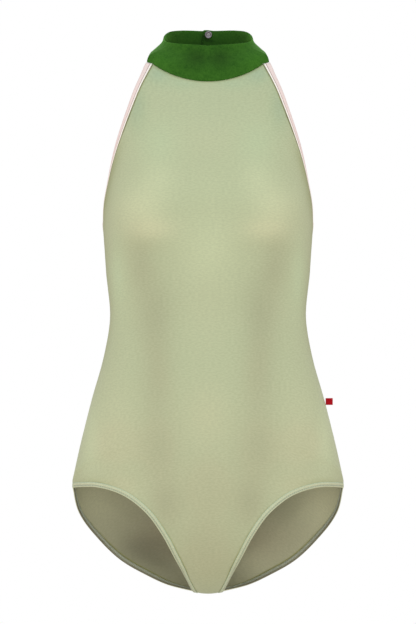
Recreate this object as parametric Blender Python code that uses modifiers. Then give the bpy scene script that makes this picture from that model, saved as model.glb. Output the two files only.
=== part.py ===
"""A sleeveless high-neck leotard, filled out and hollow, as it hangs from its collar.

The front faces -Y, the wearer's left is +X and +Z is up. The origin is the centre of the
collar's base, where the wearer's neck holds the garment up. The tables below are in
millimetres, with heights measured up from the crotch seam.
"""
import math
from collections import namedtuple

import bmesh
import bpy
import numpy as np
from mathutils import Matrix, Vector

MM = 0.001

# Driving dimensions, in millimetres
NECK_HEIGHT = 664.0        # the collar's base above the crotch seam, where the origin is
CLOTH = 1.2                # wall of the front and the back
COLLAR_CLOTH = 1.8         # wall of the double collar
SEAM_GAP = 0.3             # between two pieces that are sewn together
HEM_WIDTH = 6.0            # turned hem of a leg opening
BINDING_WIDTH = 8.5        # folded binding of an armhole
BAND_PROUD = 0.35          # how far hems and bindings stand out from the cloth on each face
BAND_ROUND = 0.9           # how far in from its edges a band is full thick
FOLD_ROUND = 0.25          # how far the folded edge of a band is rounded off
BUST_SWELL = 14.0          # how far the cut of the front swells over each side of the chest
BUST_SPREAD = 38.0
BUST_PLACE = (97.0, 468.0)  # sideways from the centre, and height
TURN_EASE = 0.6            # extra clearance of the hem where it turns the side seam
COLUMNS = 12               # quads from the centre line of a panel to its edge

# A panel is lofted through sections. Each runs from the centre line to the panel's edge as an
# arc of an ellipse: sweep is how far round the arc goes, and 90 degrees ends square to the side.
# climb is how late the section rises to its edge: 1 follows the arc and 2 stays low for longer.
Section = namedtuple("Section", "centre_y centre_z edge_x edge_y edge_z sweep climb")

FRONT_LEG = [
    Section(0.0, 0.0, 12.5, 0.0, 1.1, 14, 1),
    Section(-17.0, 2.8, 14.8, -15.0, 4.6, 16, 1),
    Section(-40.0, 14.5, 21.9, -38.0, 19.9, 20, 1),
    Section(-61.0, 34.5, 28.7, -60.0, 38.0, 24, 1),
    Section(-75.5, 58.5, 37.1, -73.5, 56.6, 28, 1),
    Section(-88.0, 93.0, 51.7, -85.5, 85.5, 33, 1),
    Section(-94.5, 125.0, 72.0, -88.0, 113.0, 40, 1),
    Section(-98.0, 152.0, 101.4, -79.0, 134.2, 51, 1),
    Section(-99.5, 173.0, 135.7, -58.0, 143.0, 65, 1),
    Section(-100.0, 187.0, 156.5, -32.0, 141.5, 78, 1),
    Section(-100.0, 200.0, 169.3, 0.0, 138.5, 90, 1),
]
FRONT_SIDE = [
    FRONT_LEG[-1],
    Section(-99.5, 228.0, 160.0, 0.0, 181.6, 90, 1),
    Section(-97.0, 266.0, 145.0, 0.0, 241.6, 90, 1),
    Section(-92.5, 312.0, 129.0, 0.0, 301.6, 90, 1),
    Section(-90.0, 346.0, 122.6, 0.0, 341.6, 90, 1),
    Section(-94.0, 400.0, 127.3, 0.0, 401.6, 90, 1),
    Section(-104.0, 456.0, 131.2, 0.0, 459.0, 90, 1),
]
FRONT_ARMHOLE = [
    FRONT_SIDE[-1],
    Section(-107.0, 488.0, 129.5, -12.0, 486.1, 87, 1),
    Section(-103.5, 522.0, 123.4, -23.0, 515.3, 82, 1),
    Section(-96.0, 553.0, 115.4, -37.0, 544.1, 75, 1),
    Section(-87.5, 580.0, 105.2, -47.0, 573.0, 69, 1),
    Section(-79.0, 602.0, 94.0, -51.0, 602.2, 63, 1),
    Section(-70.5, 621.0, 81.8, -47.0, 632.1, 52, 1),
    Section(-64.0, 634.0, 68.5, -36.0, 658.6, 38, 1),
]
BACK_LEG = [
    Section(0.0, 0.0, 12.5, 0.0, 1.1, 14, 1),
    Section(17.0, 0.2, 13.8, 14.0, 1.1, 17, 1),
    Section(33.0, 1.0, 18.6, 29.0, 1.2, 22, 1),
    Section(58.0, 5.5, 33.0, 49.5, 3.0, 27, 1),
    Section(76.0, 15.0, 50.0, 65.0, 7.2, 32, 1),
    Section(93.0, 35.0, 74.6, 81.5, 17.9, 40, 1),
    Section(105.0, 66.0, 107.8, 89.0, 36.6, 50, 1),
    Section(112.0, 105.0, 141.0, 73.0, 69.2, 66, 1),
    Section(114.5, 148.0, 162.3, 42.0, 101.6, 80, 1),
    Section(113.0, 190.0, 169.3, 0.0, 138.5, 90, 1),
]
BACK_SIDE = [
    BACK_LEG[-1],
    Section(108.0, 222.0, 160.0, 0.0, 181.6, 90, 1),
    Section(98.0, 264.0, 145.0, 0.0, 241.6, 90, 1),
    Section(86.0, 311.0, 129.0, 0.0, 301.6, 90, 1),
    Section(81.0, 345.0, 122.6, 0.0, 341.6, 90, 1),
    Section(84.0, 384.0, 127.3, 0.0, 401.6, 90, 1.5),
    Section(90.0, 417.0, 131.2, 0.0, 459.0, 90, 2.2),
]
LEG_ROWS, SIDE_ROWS, ARMHOLE_ROWS = 16, 12, 12
# Places inside the garment, which an edge's outward direction points away from.
INSIDE_HIPS, INSIDE_CHEST = np.array([0.0, 0.0, 200.0]), np.array([0.0, 0.0, 500.0])

# The collar's base leaves the front's neckline and goes round the neck to the centre back.
BasePoint = namedtuple("BasePoint", "x y z")
COLLAR_BASE_BEHIND = [
    BasePoint(73.8, -14.0, 667.0),
    BasePoint(72.6, 8.0, 667.6),
    BasePoint(67.0, 31.0, 667.0),
    BasePoint(50.0, 49.0, 667.0),
    BasePoint(27.0, 58.5, 667.0),
    BasePoint(0.0, 61.5, 667.0),
]
BEHIND_STEPS = 14
# The way round the neck is read on an ellipse of this half width and depth.
BASE_HALF_WIDTH, BASE_DEPTH = 75.0, 63.0
# The rim is an ellipse seen from above, and its height changes round the neck.
RIM_HALF_WIDTH, RIM_FRONT, RIM_BACK = 56.3, 50.0, 54.0
RimHeight = namedtuple("RimHeight", "angle z")
COLLAR_RIM = [
    RimHeight(0, 679.6), RimHeight(45, 684.0), RimHeight(75, 689.5), RimHeight(90, 694.0),
    RimHeight(105, 700.5), RimHeight(120, 705.5), RimHeight(140, 708.6), RimHeight(180, 709.6),
]
# From base to rim the collar leaves the shoulders and closes on the neck.
CollarLevel = namedtuple("CollarLevel", "up spread")
COLLAR_LEVELS = [
    CollarLevel(0.0, 1.0), CollarLevel(0.18, 0.967), CollarLevel(0.36, 0.867),
    CollarLevel(0.545, 0.55), CollarLevel(0.727, 0.205), CollarLevel(0.86, 0.06),
    CollarLevel(1.0, 0.0),
]
OVERLAP_INNER = 8.0        # past the centre back, the end next to the neck
OVERLAP_OUTER = 16.0       # past the centre back, the end outside it
OVERLAP_EASE = 26.0        # length over which an end moves off the other
OVERLAP_SHIFT = 1.2
SHORTEST_STEP = 1.0        # between the last two stations of an end

SNAP_RADIUS = 4.6
SNAP_STEPS = 24
# Half the cap's section: out as a share of the radius, and height in millimetres.
CapPoint = namedtuple("CapPoint", "out high")
CAP = [
    CapPoint(0.0, 0.55), CapPoint(0.45, 0.6), CapPoint(0.62, 1.15), CapPoint(0.82, 1.35),
    CapPoint(1.0, 0.95), CapPoint(0.97, 0.0), CapPoint(0.0, 0.0),
]
SNAP_HEIGHT = 704.6
SNAP_X = 0.6
SNAP_LEAN = 7.0             # the collar leans back under the cap, in degrees
SNAP_SEAT = 0.45            # clearance of a flat cap on the round of the neck
TAB_SIZE = (9.0, 1.6, 8.5)  # out from the seam, thick, tall
TAB_FOLD = 0.4              # rounding of the folded edge, as a share of the thickness
TAB_HEIGHT = 240.3
TAB_SEAM_X = 147.0          # half width of the hips at the tab's lower end, and a seam gap

SAGE, SAGE_HEM = (0.47, 0.53, 0.36), (0.44, 0.50, 0.34)
PINK, DARK_GREEN = (0.83, 0.66, 0.63), (0.03, 0.09, 0.012)
NICKEL, RED = (0.55, 0.53, 0.55), (0.36, 0.004, 0.012)


def material(name, colour, roughness, metallic=0.0):
    """A Principled material with one plain colour."""
    made = bpy.data.materials.new(name)
    made.use_nodes = True
    shader = made.node_tree.nodes["Principled BSDF"]
    shader.inputs["Base Color"].default_value = (*colour, 1.0)
    shader.inputs["Roughness"].default_value = roughness
    shader.inputs["Metallic"].default_value = metallic
    return made


def place(point):
    """A point of the tables, in metres from the origin."""
    return (point[0] * MM, point[1] * MM, (point[2] - NECK_HEIGHT) * MM)


def smooth_through(knots, values, at):
    """A smooth curve through the values at the knots, read at other places."""
    knots = np.asarray(knots, float)
    values = np.asarray(values, float)
    slopes = np.gradient(values, knots, axis=0)
    piece = np.clip(np.searchsorted(knots, at, side="right") - 1, 0, len(knots) - 2)
    span = (knots[piece + 1] - knots[piece])[:, None]
    t = (at[:, None] - knots[piece][:, None]) / span
    start, end = values[piece], values[piece + 1]
    slope_in, slope_out = slopes[piece] * span, slopes[piece + 1] * span
    return ((2 * t**3 - 3 * t**2 + 1) * start + (t**3 - 2 * t**2 + t) * slope_in
            + (3 * t**2 - 2 * t**3) * end + (t**3 - t**2) * slope_out)


def loft_sections(blocks, counts):
    """Sections read smoothly between the tables' rows; edges may turn a corner between blocks."""
    rows = [blocks[0][0]] + [row for block in blocks for row in block[1:]]
    table = np.array(rows, float)
    centre_steps = np.linalg.norm(np.diff(table[:, 0:2], axis=0), axis=1)
    edge_steps = np.linalg.norm(np.diff(table[:, 2:5], axis=0), axis=1)
    knots = np.concatenate([[0], np.cumsum((centre_steps + edge_steps) / 2)])
    lofted = []
    first = 0
    for block, count in zip(blocks, counts):
        last = first + len(block) - 1
        at = np.linspace(knots[first], knots[last], count + 1)
        centre = smooth_through(knots, table[:, 0:2], at)
        edge = smooth_through(knots[first:last + 1], table[first:last + 1, 2:], at)
        both = np.hstack([centre, edge])
        lofted.extend(both if first == 0 else both[1:])
        first = last
    return [Section(*row) for row in lofted]


def bust_swell(x, z, along):
    """The soft swell of the front's cut over one side of the chest, gone at the side seam."""
    away = ((x - BUST_PLACE[0]) ** 2 + (z - BUST_PLACE[1]) ** 2) / (2 * BUST_SPREAD**2)
    return BUST_SWELL * math.exp(-away) * (1 - along**4)


def section_point(section, along, side):
    """A point on a section, from its centre (along 0) to its edge (along 1)."""
    sweep = math.radians(section.sweep)
    turned = along * sweep
    x = section.edge_x * math.sin(turned) / math.sin(sweep)
    arc = (1 - math.cos(turned)) / (1 - math.cos(sweep))
    y = section.centre_y + (section.edge_y - section.centre_y) * arc
    z = section.centre_z + (section.edge_z - section.centre_z) * arc**section.climb
    if side < 0:
        y -= bust_swell(x, z, along)
    return np.array([x, y + side * SEAM_GAP / 2, z])


def panel_points(blocks, counts, side):
    """The grid of a half panel: rows of points from the centre line to the edge."""
    sections = loft_sections(blocks, counts)
    return np.array([[section_point(section, column / COLUMNS, side)
                      for column in range(COLUMNS + 1)] for section in sections])


def new_object(name, mesh, finish, collection):
    """An object with its own material, shaded smooth."""
    made = bpy.data.objects.new(name, mesh)
    mesh.materials.append(finish)
    mesh.shade_smooth()
    collection.objects.link(made)
    return made


def grid_mesh(name, grid, outward):
    """An open mesh over a grid of points; the faces turn over where outward is false."""
    rows, columns = grid.shape[:2]
    mesh = bpy.data.meshes.new(name)
    points = [place(point) for row in grid for point in row]
    faces = []
    for row in range(rows - 1):
        for column in range(columns - 1):
            corner = row * columns + column
            faces.append((corner, corner + 1, corner + columns + 1, corner + columns))
    if not outward:
        faces = [face[::-1] for face in faces]
    mesh.from_pydata(points, [], faces)
    return mesh


def panel(name, grid, outward, finish, collection):
    """A panel of cloth: a half surface, mirrored across the centre line and made solid."""
    made = new_object(name, grid_mesh(name, grid, outward), finish, collection)
    mirror = made.modifiers.new("Other half", "MIRROR")
    mirror.merge_threshold = 0.00001
    wall = made.modifiers.new("Cloth", "SOLIDIFY")
    wall.thickness = CLOTH * MM
    wall.offset = -1.0
    wall.use_even_offset = True
    return made


def unit(vector):
    return vector / np.linalg.norm(vector)


def edge_stations(edge, inner, inside):
    """Where a band leaves a panel's edge: point, direction off the cloth, and outward normal."""
    tangents = np.gradient(edge, axis=0)
    stations = []
    for point, before, tangent in zip(edge, inner, tangents):
        tangent = unit(tangent)
        off = point - before
        off = unit(off - tangent * np.dot(off, tangent))
        normal = unit(np.cross(tangent, off))
        if np.dot(normal, point - inside) < 0:
            normal = -normal
        stations.append((point, off, normal))
    return stations


def average(first, second):
    """One station between two that meet."""
    return tuple([(first[0] + second[0]) / 2, unit(first[1] + second[1]),
                  unit(first[2] + second[2])])


def band_profile(width):
    """Across a flat folded band: distance off the cloth's edge, and height over its face."""
    over, under = BAND_PROUD, -CLOTH - BAND_PROUD
    low, high = -FOLD_ROUND, -CLOTH + FOLD_ROUND
    return [(SEAM_GAP, 0.0), (BAND_ROUND, over), (width - BAND_ROUND, over), (width, low),
            (width, high), (width - BAND_ROUND, under), (BAND_ROUND, under), (SEAM_GAP, -CLOTH)]


def band(name, stations, width, closed, flip, finish, collection):
    """A folded band swept along a panel's edge."""
    profile = band_profile(width)
    made = bmesh.new()
    rings = []
    for point, off, normal in stations:
        corners = [point + off * out + normal * high for out, high in profile]
        mirrored = [corner * np.array([flip, 1, 1]) for corner in corners]
        rings.append([made.verts.new(place(corner)) for corner in mirrored])
    pairs = list(zip(rings, rings[1:]))
    if closed:
        pairs.append((rings[-1], rings[0]))
    else:
        made.faces.new(rings[0])
        made.faces.new(rings[-1])
    for ring, following in pairs:
        for corner in range(len(profile)):
            beside = (corner + 1) % len(profile)
            made.faces.new([ring[corner], ring[beside], following[beside], following[corner]])
    bmesh.ops.recalc_face_normals(made, faces=made.faces)
    mesh = bpy.data.meshes.new(name)
    made.to_mesh(mesh)
    made.free()
    return new_object(name, mesh, finish, collection)


def collar_half(neckline, band_top):
    """The collar's base from the centre front, over the binding's end, to the centre back."""
    behind = np.array([band_top] + [np.array(point) for point in COLLAR_BASE_BEHIND])
    steps = np.linalg.norm(np.diff(behind, axis=0), axis=1)
    knots = np.concatenate([[0], np.cumsum(steps)])
    mirrored_knots = np.append(knots, 2 * knots[-1] - knots[-2])
    beyond = behind[-2] * np.array([-1, 1, 1])
    curve = smooth_through(mirrored_knots, np.vstack([behind, beyond]),
                           np.linspace(0, knots[-1], BEHIND_STEPS + 1))
    return np.vstack([neckline, curve])


def rim_point(base):
    """The rim over a point of the collar's base, the same way round the neck."""
    angle = math.atan2(base[0] / BASE_HALF_WIDTH, -base[1] / BASE_DEPTH)
    heights = np.array(COLLAR_RIM, float)
    height = smooth_through(heights[:, 0], heights[:, 1:2], np.array([abs(math.degrees(angle))]))
    depth = RIM_FRONT if abs(angle) < math.pi / 2 else RIM_BACK
    return np.array([RIM_HALF_WIDTH * math.sin(angle), -depth * math.cos(angle), height[0, 0]])


def overlap_end(half, length):
    """The base points that carry one end of the collar past the centre back."""
    mirrored = half[::-1][1:] * np.array([-1, 1, 1])
    walked = np.concatenate([[0], np.cumsum(
        np.linalg.norm(np.diff(half[::-1], axis=0), axis=1))])[1:]
    inside = mirrored[walked < length - SHORTEST_STEP]
    last = np.array([np.interp(length, walked, mirrored[:, axis]) for axis in range(3)])
    if length < walked[0]:
        last = half[-1] + (mirrored[0] - half[-1]) * length / walked[0]
    return np.vstack([inside, last]) if len(inside) else last[None, :]


def collar_ring(half):
    """The collar's base from its outer end, round the front, to its inner end."""
    other = half[::-1] * np.array([-1, 1, 1])
    outer_end = overlap_end(half, OVERLAP_OUTER)[::-1] * np.array([-1, 1, 1])
    inner_end = overlap_end(half, OVERLAP_INNER)
    ring = np.vstack([outer_end, other[:-1], half, inner_end])
    walked = np.concatenate([[0], np.cumsum(np.linalg.norm(np.diff(ring, axis=0), axis=1))])
    from_outer = np.clip(1 - (walked - OVERLAP_OUTER) / OVERLAP_EASE, 0, 1)
    from_inner = np.clip(1 - (walked[-1] - walked - OVERLAP_INNER) / OVERLAP_EASE, 0, 1)
    ease = lambda part: part * part * (3 - 2 * part)
    return ring, OVERLAP_SHIFT * (ease(from_outer) - ease(from_inner))


def collar(half, finish, collection):
    """The standing collar: a shaped band, wrapped round the neck and made solid."""
    ring, shifts = collar_ring(half)
    grid = []
    for level in COLLAR_LEVELS:
        row = []
        for base, shift in zip(ring, shifts):
            rim = rim_point(base)
            point = rim + (base - rim) * level.spread
            point[2] = base[2] + (rim[2] - base[2]) * level.up + SEAM_GAP
            outward = unit(np.array([point[0], point[1], 0.0]))
            row.append(point + outward * shift)
        grid.append(row)
    made = new_object("collar", grid_mesh("collar", np.array(grid), True), finish, collection)
    wall = made.modifiers.new("Cloth", "SOLIDIFY")
    wall.thickness = COLLAR_CLOTH * MM
    wall.offset = -1.0
    wall.use_even_offset = True
    return made


def snap_cap(name, depth, facing, finish, collection):
    """One cap of the press stud: a turned dome with a rolled rim."""
    mesh = bpy.data.meshes.new(name)
    points = [(point.out * SNAP_RADIUS * MM, 0.0, point.high * MM) for point in CAP]
    edges = [(step, step + 1) for step in range(len(points) - 1)]
    mesh.from_pydata(points, edges, [])
    made = new_object(name, mesh, finish, collection)
    turn = made.modifiers.new("Turned", "SCREW")
    turn.steps = SNAP_STEPS
    turn.render_steps = SNAP_STEPS
    turn.use_merge_vertices = True
    turn.merge_threshold = 0.00001
    turn.use_normal_calculate = True
    turn.use_smooth_shade = True
    made.location = place((SNAP_X, depth, SNAP_HEIGHT))
    made.rotation_euler = (math.radians(facing * 90 + SNAP_LEAN), 0.0, 0.0)
    return made


def side_tab(finish, collection):
    """A plain folded tab standing out of the side seam."""
    out, thick, tall = TAB_SIZE
    bpy.ops.mesh.primitive_cube_add(size=1.0)
    made = bpy.context.active_object
    made.name = "side_tab"
    centre = (TAB_SEAM_X + out / 2, 0.0, TAB_HEIGHT)
    made.data.transform(Matrix.Diagonal(Vector((out * MM, thick * MM, tall * MM, 1.0))))
    made.location = place(centre)
    made.data.materials.append(finish)
    fold = made.modifiers.new("Folded edge", "BEVEL")
    fold.width = TAB_FOLD * thick * MM
    fold.segments = 2
    for user in list(made.users_collection):
        user.objects.unlink(made)
    collection.objects.link(made)
    return made


def build():
    """Every piece of the leotard."""
    for old in list(bpy.data.objects):
        bpy.data.objects.remove(old)
    leotard = bpy.data.collections.new("leotard")
    bpy.context.scene.collection.children.link(leotard)

    front = panel_points([FRONT_LEG, FRONT_SIDE, FRONT_ARMHOLE],
                         [LEG_ROWS, SIDE_ROWS, ARMHOLE_ROWS], -1)
    back = panel_points([BACK_LEG, BACK_SIDE], [LEG_ROWS, SIDE_ROWS], 1)
    panel("front", front, True, material("sage front", SAGE, 0.55), leotard)
    panel("back", back, False, material("sage back", SAGE, 0.55), leotard)

    front_leg = edge_stations(front[:LEG_ROWS + 1, -1], front[:LEG_ROWS + 1, -2], INSIDE_HIPS)
    back_leg = edge_stations(back[:LEG_ROWS + 1, -1], back[:LEG_ROWS + 1, -2], INSIDE_HIPS)
    side_turn = average(front_leg[-1], back_leg[-1])
    side_turn = (side_turn[0] + side_turn[1] * TURN_EASE, side_turn[1], side_turn[2])
    loop = (front_leg[1:-1] + [side_turn] + back_leg[-2:0:-1]
            + [average(front_leg[0], back_leg[0])])
    for side, flip in (("left", 1), ("right", -1)):
        finish = material("sage hem " + side, SAGE_HEM, 0.6)
        band("leg_hem_" + side, loop, HEM_WIDTH, True, flip, finish, leotard)

    underarm = LEG_ROWS + SIDE_ROWS
    armhole = edge_stations(front[underarm:, -1], front[underarm:, -2], INSIDE_CHEST)
    back_top = edge_stations(back[-1], back[-2], INSIDE_CHEST)
    turn = average(armhole[0], back_top[-1])
    armhole[0] = (armhole[0][0], turn[1], turn[2])
    back_top[-1] = (back_top[-1][0], turn[1], turn[2])
    for side, flip in (("left", 1), ("right", -1)):
        finish = material("pink binding " + side, PINK, 0.5)
        band("armhole_binding_" + side, armhole, BINDING_WIDTH, False, flip, finish, leotard)
    other_side = [tuple(part * np.array([-1, 1, 1]) for part in station)
                  for station in back_top[:0:-1]]
    centre_back = back_top[0]
    centre_back = (centre_back[0], unit(centre_back[1] * np.array([0, 1, 1])),
                   unit(centre_back[2] * np.array([0, 1, 1])))
    band("back_binding", other_side + [centre_back] + back_top[1:], BINDING_WIDTH, False, 1,
         material("pink back binding", PINK, 0.5), leotard)

    corner, off = armhole[-1][0], armhole[-1][1]
    half = collar_half(front[-1], corner + off * BINDING_WIDTH + np.array([0, 0, SEAM_GAP]))
    collar(half, material("dark green collar", DARK_GREEN, 0.9), leotard)

    inner_face = RIM_BACK - OVERLAP_SHIFT - COLLAR_CLOTH - SNAP_SEAT
    outer_face = RIM_BACK + OVERLAP_SHIFT + 2 * SNAP_SEAT
    snap_cap("snap_cap_inner", inner_face, 1, material("inner cap", NICKEL, 0.3, 1.0), leotard)
    snap_cap("snap_cap_outer", outer_face, -1, material("outer cap", NICKEL, 0.3, 1.0), leotard)
    side_tab(material("red tab", RED, 0.6), leotard)


build()
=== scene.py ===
# %% [markdown]
# # A sleeveless high-neck leotard, filled out and hollow
#
# The garment is a stretch leotard in smooth sage jersey with a dark green pile collar, pink
# bindings round the armholes and the open back, and narrow stitched hems round the legs. This
# lesson dresses the plain solids of its CAD model: every piece is rebuilt as a finer cloth
# surface on the same cut, with its seams, stitches and finish. The first cell only loads the
# imported model. Nothing made later may leave that size.

# %% Load the imported model
import math
from collections import namedtuple

import bmesh
import bpy
import numpy as np
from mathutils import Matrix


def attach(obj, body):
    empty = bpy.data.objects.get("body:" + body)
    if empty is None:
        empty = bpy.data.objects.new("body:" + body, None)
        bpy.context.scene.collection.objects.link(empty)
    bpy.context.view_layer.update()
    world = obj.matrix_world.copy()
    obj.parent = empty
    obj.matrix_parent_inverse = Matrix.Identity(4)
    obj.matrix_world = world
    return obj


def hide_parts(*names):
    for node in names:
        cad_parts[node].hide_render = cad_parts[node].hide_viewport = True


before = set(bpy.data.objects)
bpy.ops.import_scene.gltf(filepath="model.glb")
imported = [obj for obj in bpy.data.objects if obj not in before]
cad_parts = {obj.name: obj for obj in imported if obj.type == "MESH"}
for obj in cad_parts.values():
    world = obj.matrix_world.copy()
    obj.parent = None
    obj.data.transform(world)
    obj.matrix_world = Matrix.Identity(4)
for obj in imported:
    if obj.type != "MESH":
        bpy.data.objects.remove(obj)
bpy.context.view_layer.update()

# %% [markdown]
# ## The camera
#
# The garment is seen straight from the front and almost without perspective, so the camera
# stands well back with a long lens. The lens follows from two plain numbers: how far away the
# camera is, and how tall a strip of the garment's plane fills the picture.

# %% Camera
CAMERA_DISTANCE = 3.0
PICTURE_TALL = 0.78        # metres of the garment's plane from the picture's bottom to its top
PICTURE_CENTRE = -0.3118   # height of the picture's centre
SENSOR = 36.0
scene = bpy.context.scene

camera_data = bpy.data.cameras.new("Front camera")
camera_data.sensor_fit = "VERTICAL"
camera_data.sensor_height = SENSOR
camera_data.lens = SENSOR * CAMERA_DISTANCE / PICTURE_TALL
camera = bpy.data.objects.new("Front camera", camera_data)
camera.location = (0.0, -CAMERA_DISTANCE, PICTURE_CENTRE)
camera.rotation_euler = (math.pi / 2, 0.0, 0.0)
scene.collection.objects.link(camera)
scene.camera = camera
print("lens", round(camera_data.lens, 1), "mm")

# %% [markdown]
# ## Nodes
#
# The surroundings and every finish are made of nodes that feed one another. Each input could be
# set in a line of its own, but a garment has many finishes, so two helpers keep them short. One
# feeds a node's inputs with numbers, colours or other nodes' outputs. The other makes the node
# first.

# %% Wiring nodes
def feed(tree, node, **inputs):
    """Gives inputs of a node a number, a colour or another node's output."""
    for name, value in inputs.items():
        key = int(name[1:]) if name[0] == "i" and name[1:].isdigit() else name.replace("_", " ")
        socket = node.inputs[key]
        if isinstance(value, bpy.types.NodeSocket):
            tree.links.new(value, socket)
        elif socket.type == "RGBA":
            socket.default_value = (*value, 1.0)
        else:
            socket.default_value = value


def wire(tree, kind, settings=None, **inputs):
    """A new node, with its settings made and its inputs fed."""
    made = tree.nodes.new(kind)
    for name, value in (settings or {}).items():
        setattr(made, name, value)
    feed(tree, made, **inputs)
    return made


def new_finish(name):
    """An empty finish, with its node tree and its shader."""
    made = bpy.data.materials.new(name)
    made.use_nodes = True
    return made, made.node_tree, made.node_tree.nodes["Principled BSDF"]


# %% [markdown]
# ## Light, floor and backdrop
#
# A product picture of cloth is lit from large soft boxes, so that the form turns slowly from
# light to shade and no hard shadow hides a seam. A tall strip and a box stand in front, a wide
# box hangs above, and a small one low down fills the shade between the legs. Two strips on each
# side light the outlines, and a box behind lights the back. The backdrop is plain white where
# the camera sees it and dimmer as a light, so that the edges of the cloth stay a little darker
# than its middle. The pale floor bounces some warm light upwards.

# %% Backdrop and floor
WHITE = (1.0, 1.0, 1.0)
AMBIENT_STRENGTH = 0.70
FLOOR_HEIGHT, FLOOR_RADIUS, FLOOR_SIDES = -1.15, 3.2, 96
FLOOR_COLOUR, FLOOR_ROUGHNESS = (0.72, 0.69, 0.64), 0.8

scene.view_settings.view_transform = "Standard"
scene.view_settings.look = "None"
scene.world = bpy.data.worlds.new("White studio")
scene.world.use_nodes = True
around = scene.world.node_tree
around.nodes.clear()
backdrop = wire(around, "ShaderNodeBackground", Color=WHITE)
ambient = wire(around, "ShaderNodeBackground", Color=WHITE, Strength=AMBIENT_STRENGTH)
seen = wire(around, "ShaderNodeLightPath").outputs["Is Camera Ray"]
either = wire(around, "ShaderNodeMixShader", i0=seen, i1=ambient.outputs["Background"],
              i2=backdrop.outputs["Background"])
wire(around, "ShaderNodeOutputWorld", Surface=either.outputs["Shader"])

floor_mesh = bpy.data.meshes.new("studio_floor")
disc = bmesh.new()
bmesh.ops.create_circle(disc, cap_ends=True, segments=FLOOR_SIDES, radius=FLOOR_RADIUS)
disc.to_mesh(floor_mesh)
disc.free()
floor = bpy.data.objects.new("studio_floor", floor_mesh)
floor.location = (0.0, 0.0, FLOOR_HEIGHT)
scene.collection.objects.link(floor)
floor_finish, tree, shader = new_finish("Pale floor")
feed(tree, shader, Base_Color=FLOOR_COLOUR, Roughness=FLOOR_ROUGHNESS)
floor_mesh.materials.append(floor_finish)
print("floor at", FLOOR_HEIGHT, "m")

# %% Soft boxes
Lamp = namedtuple("Lamp", "name place aim_height wide tall watts colour")      # in metres
LAMPS = [Lamp(*row) for row in [
    ("Front strip", (0.0, -2.8, 0.15), -0.30, 0.35, 1.3, 11.0, (0.86, 1.0, 0.84)),
    ("Front box", (0.0, -2.8, 0.75), -0.25, 1.4, 1.4, 4.0, (1.0, 0.55, 0.60)),
    ("Top box", (0.0, -1.9, 1.7), -0.25, 1.6, 0.8, 11.5, (0.42, 0.88, 1.0)),
    ("Low fill", (-0.5, -2.1, -0.95), -0.50, 0.8, 0.25, 4.0, (1.0, 0.80, 0.84)),
    ("Left strip", (1.8, -0.1, -0.1), -0.10, 0.5, 1.2, 2.8, (1.0, 0.82, 0.84)),
    ("Right strip", (-1.8, -0.1, -0.1), -0.10, 0.5, 1.2, 2.5, (1.0, 0.82, 0.84)),
    ("Left low strip", (1.8, 0.15, -0.75), -0.50, 0.5, 0.7, 2.0, (1.0, 0.86, 0.82)),
    ("Right low strip", (-1.8, 0.15, -0.75), -0.50, 0.5, 0.7, 1.6, (1.0, 0.86, 0.82)),
    ("Back box", (0.0, 2.4, 0.9), -0.30, 1.8, 1.2, 12.0, WHITE),
]]


def soft_box(lamp):
    """One large area light, turned to the garment's axis at its aim's height."""
    data = bpy.data.lights.new(lamp.name, "AREA")
    data.shape = "RECTANGLE"
    data.size, data.size_y = lamp.wide, lamp.tall
    data.energy = lamp.watts
    data.color = lamp.colour
    box = bpy.data.objects.new(lamp.name, data)
    box.location = lamp.place
    look = np.array([0.0, 0.0, lamp.aim_height]) - np.array(lamp.place)
    flat = math.hypot(look[0], look[1])
    box.rotation_euler = (math.atan2(flat, -look[2]), 0.0, math.atan2(-look[0], look[1]))
    scene.collection.objects.link(box)


for lamp in LAMPS:
    soft_box(lamp)
print(len(LAMPS), "soft boxes")

# %% [markdown]
# ## The cut of the body
#
# The body has a front and a back, sewn at the sides and the crotch. Each is lofted through
# sections that run from its centre line to its edge as an arc of an ellipse. These are the
# same sections that the CAD solids are built from, in millimetres with heights measured up
# from the crotch seam, so the cloth lies exactly where the solids are. Only the grid is finer
# here, and it gets closer still beside a seam, where the cloth dips into the stitches.

# %% Sections of the front and the back
MM = 0.001                 # a millimetre in metres
NECK_HEIGHT = 664.0        # the collar's base above the crotch seam, where the origin is
CLOTH = 1.1                # thickness of the jersey
SEAM_GAP = 0.3             # between two pieces that are sewn together
BUST_SWELL = 14.0          # how far the cut of the front swells over each side of the chest
BUST_SPREAD = 38.0         # how wide the swell is
BUST_PLACE = (97.0, 468.0)

# A section's centre and edge, the degrees of the ellipse between them, and how its height goes.
Section = namedtuple("Section", "centre_y centre_z edge_x edge_y edge_z sweep climb")
CROTCH = Section(0.0, 0.0, 12.5, 0.0, 1.1, 14, 1)      # where both panels start

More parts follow.
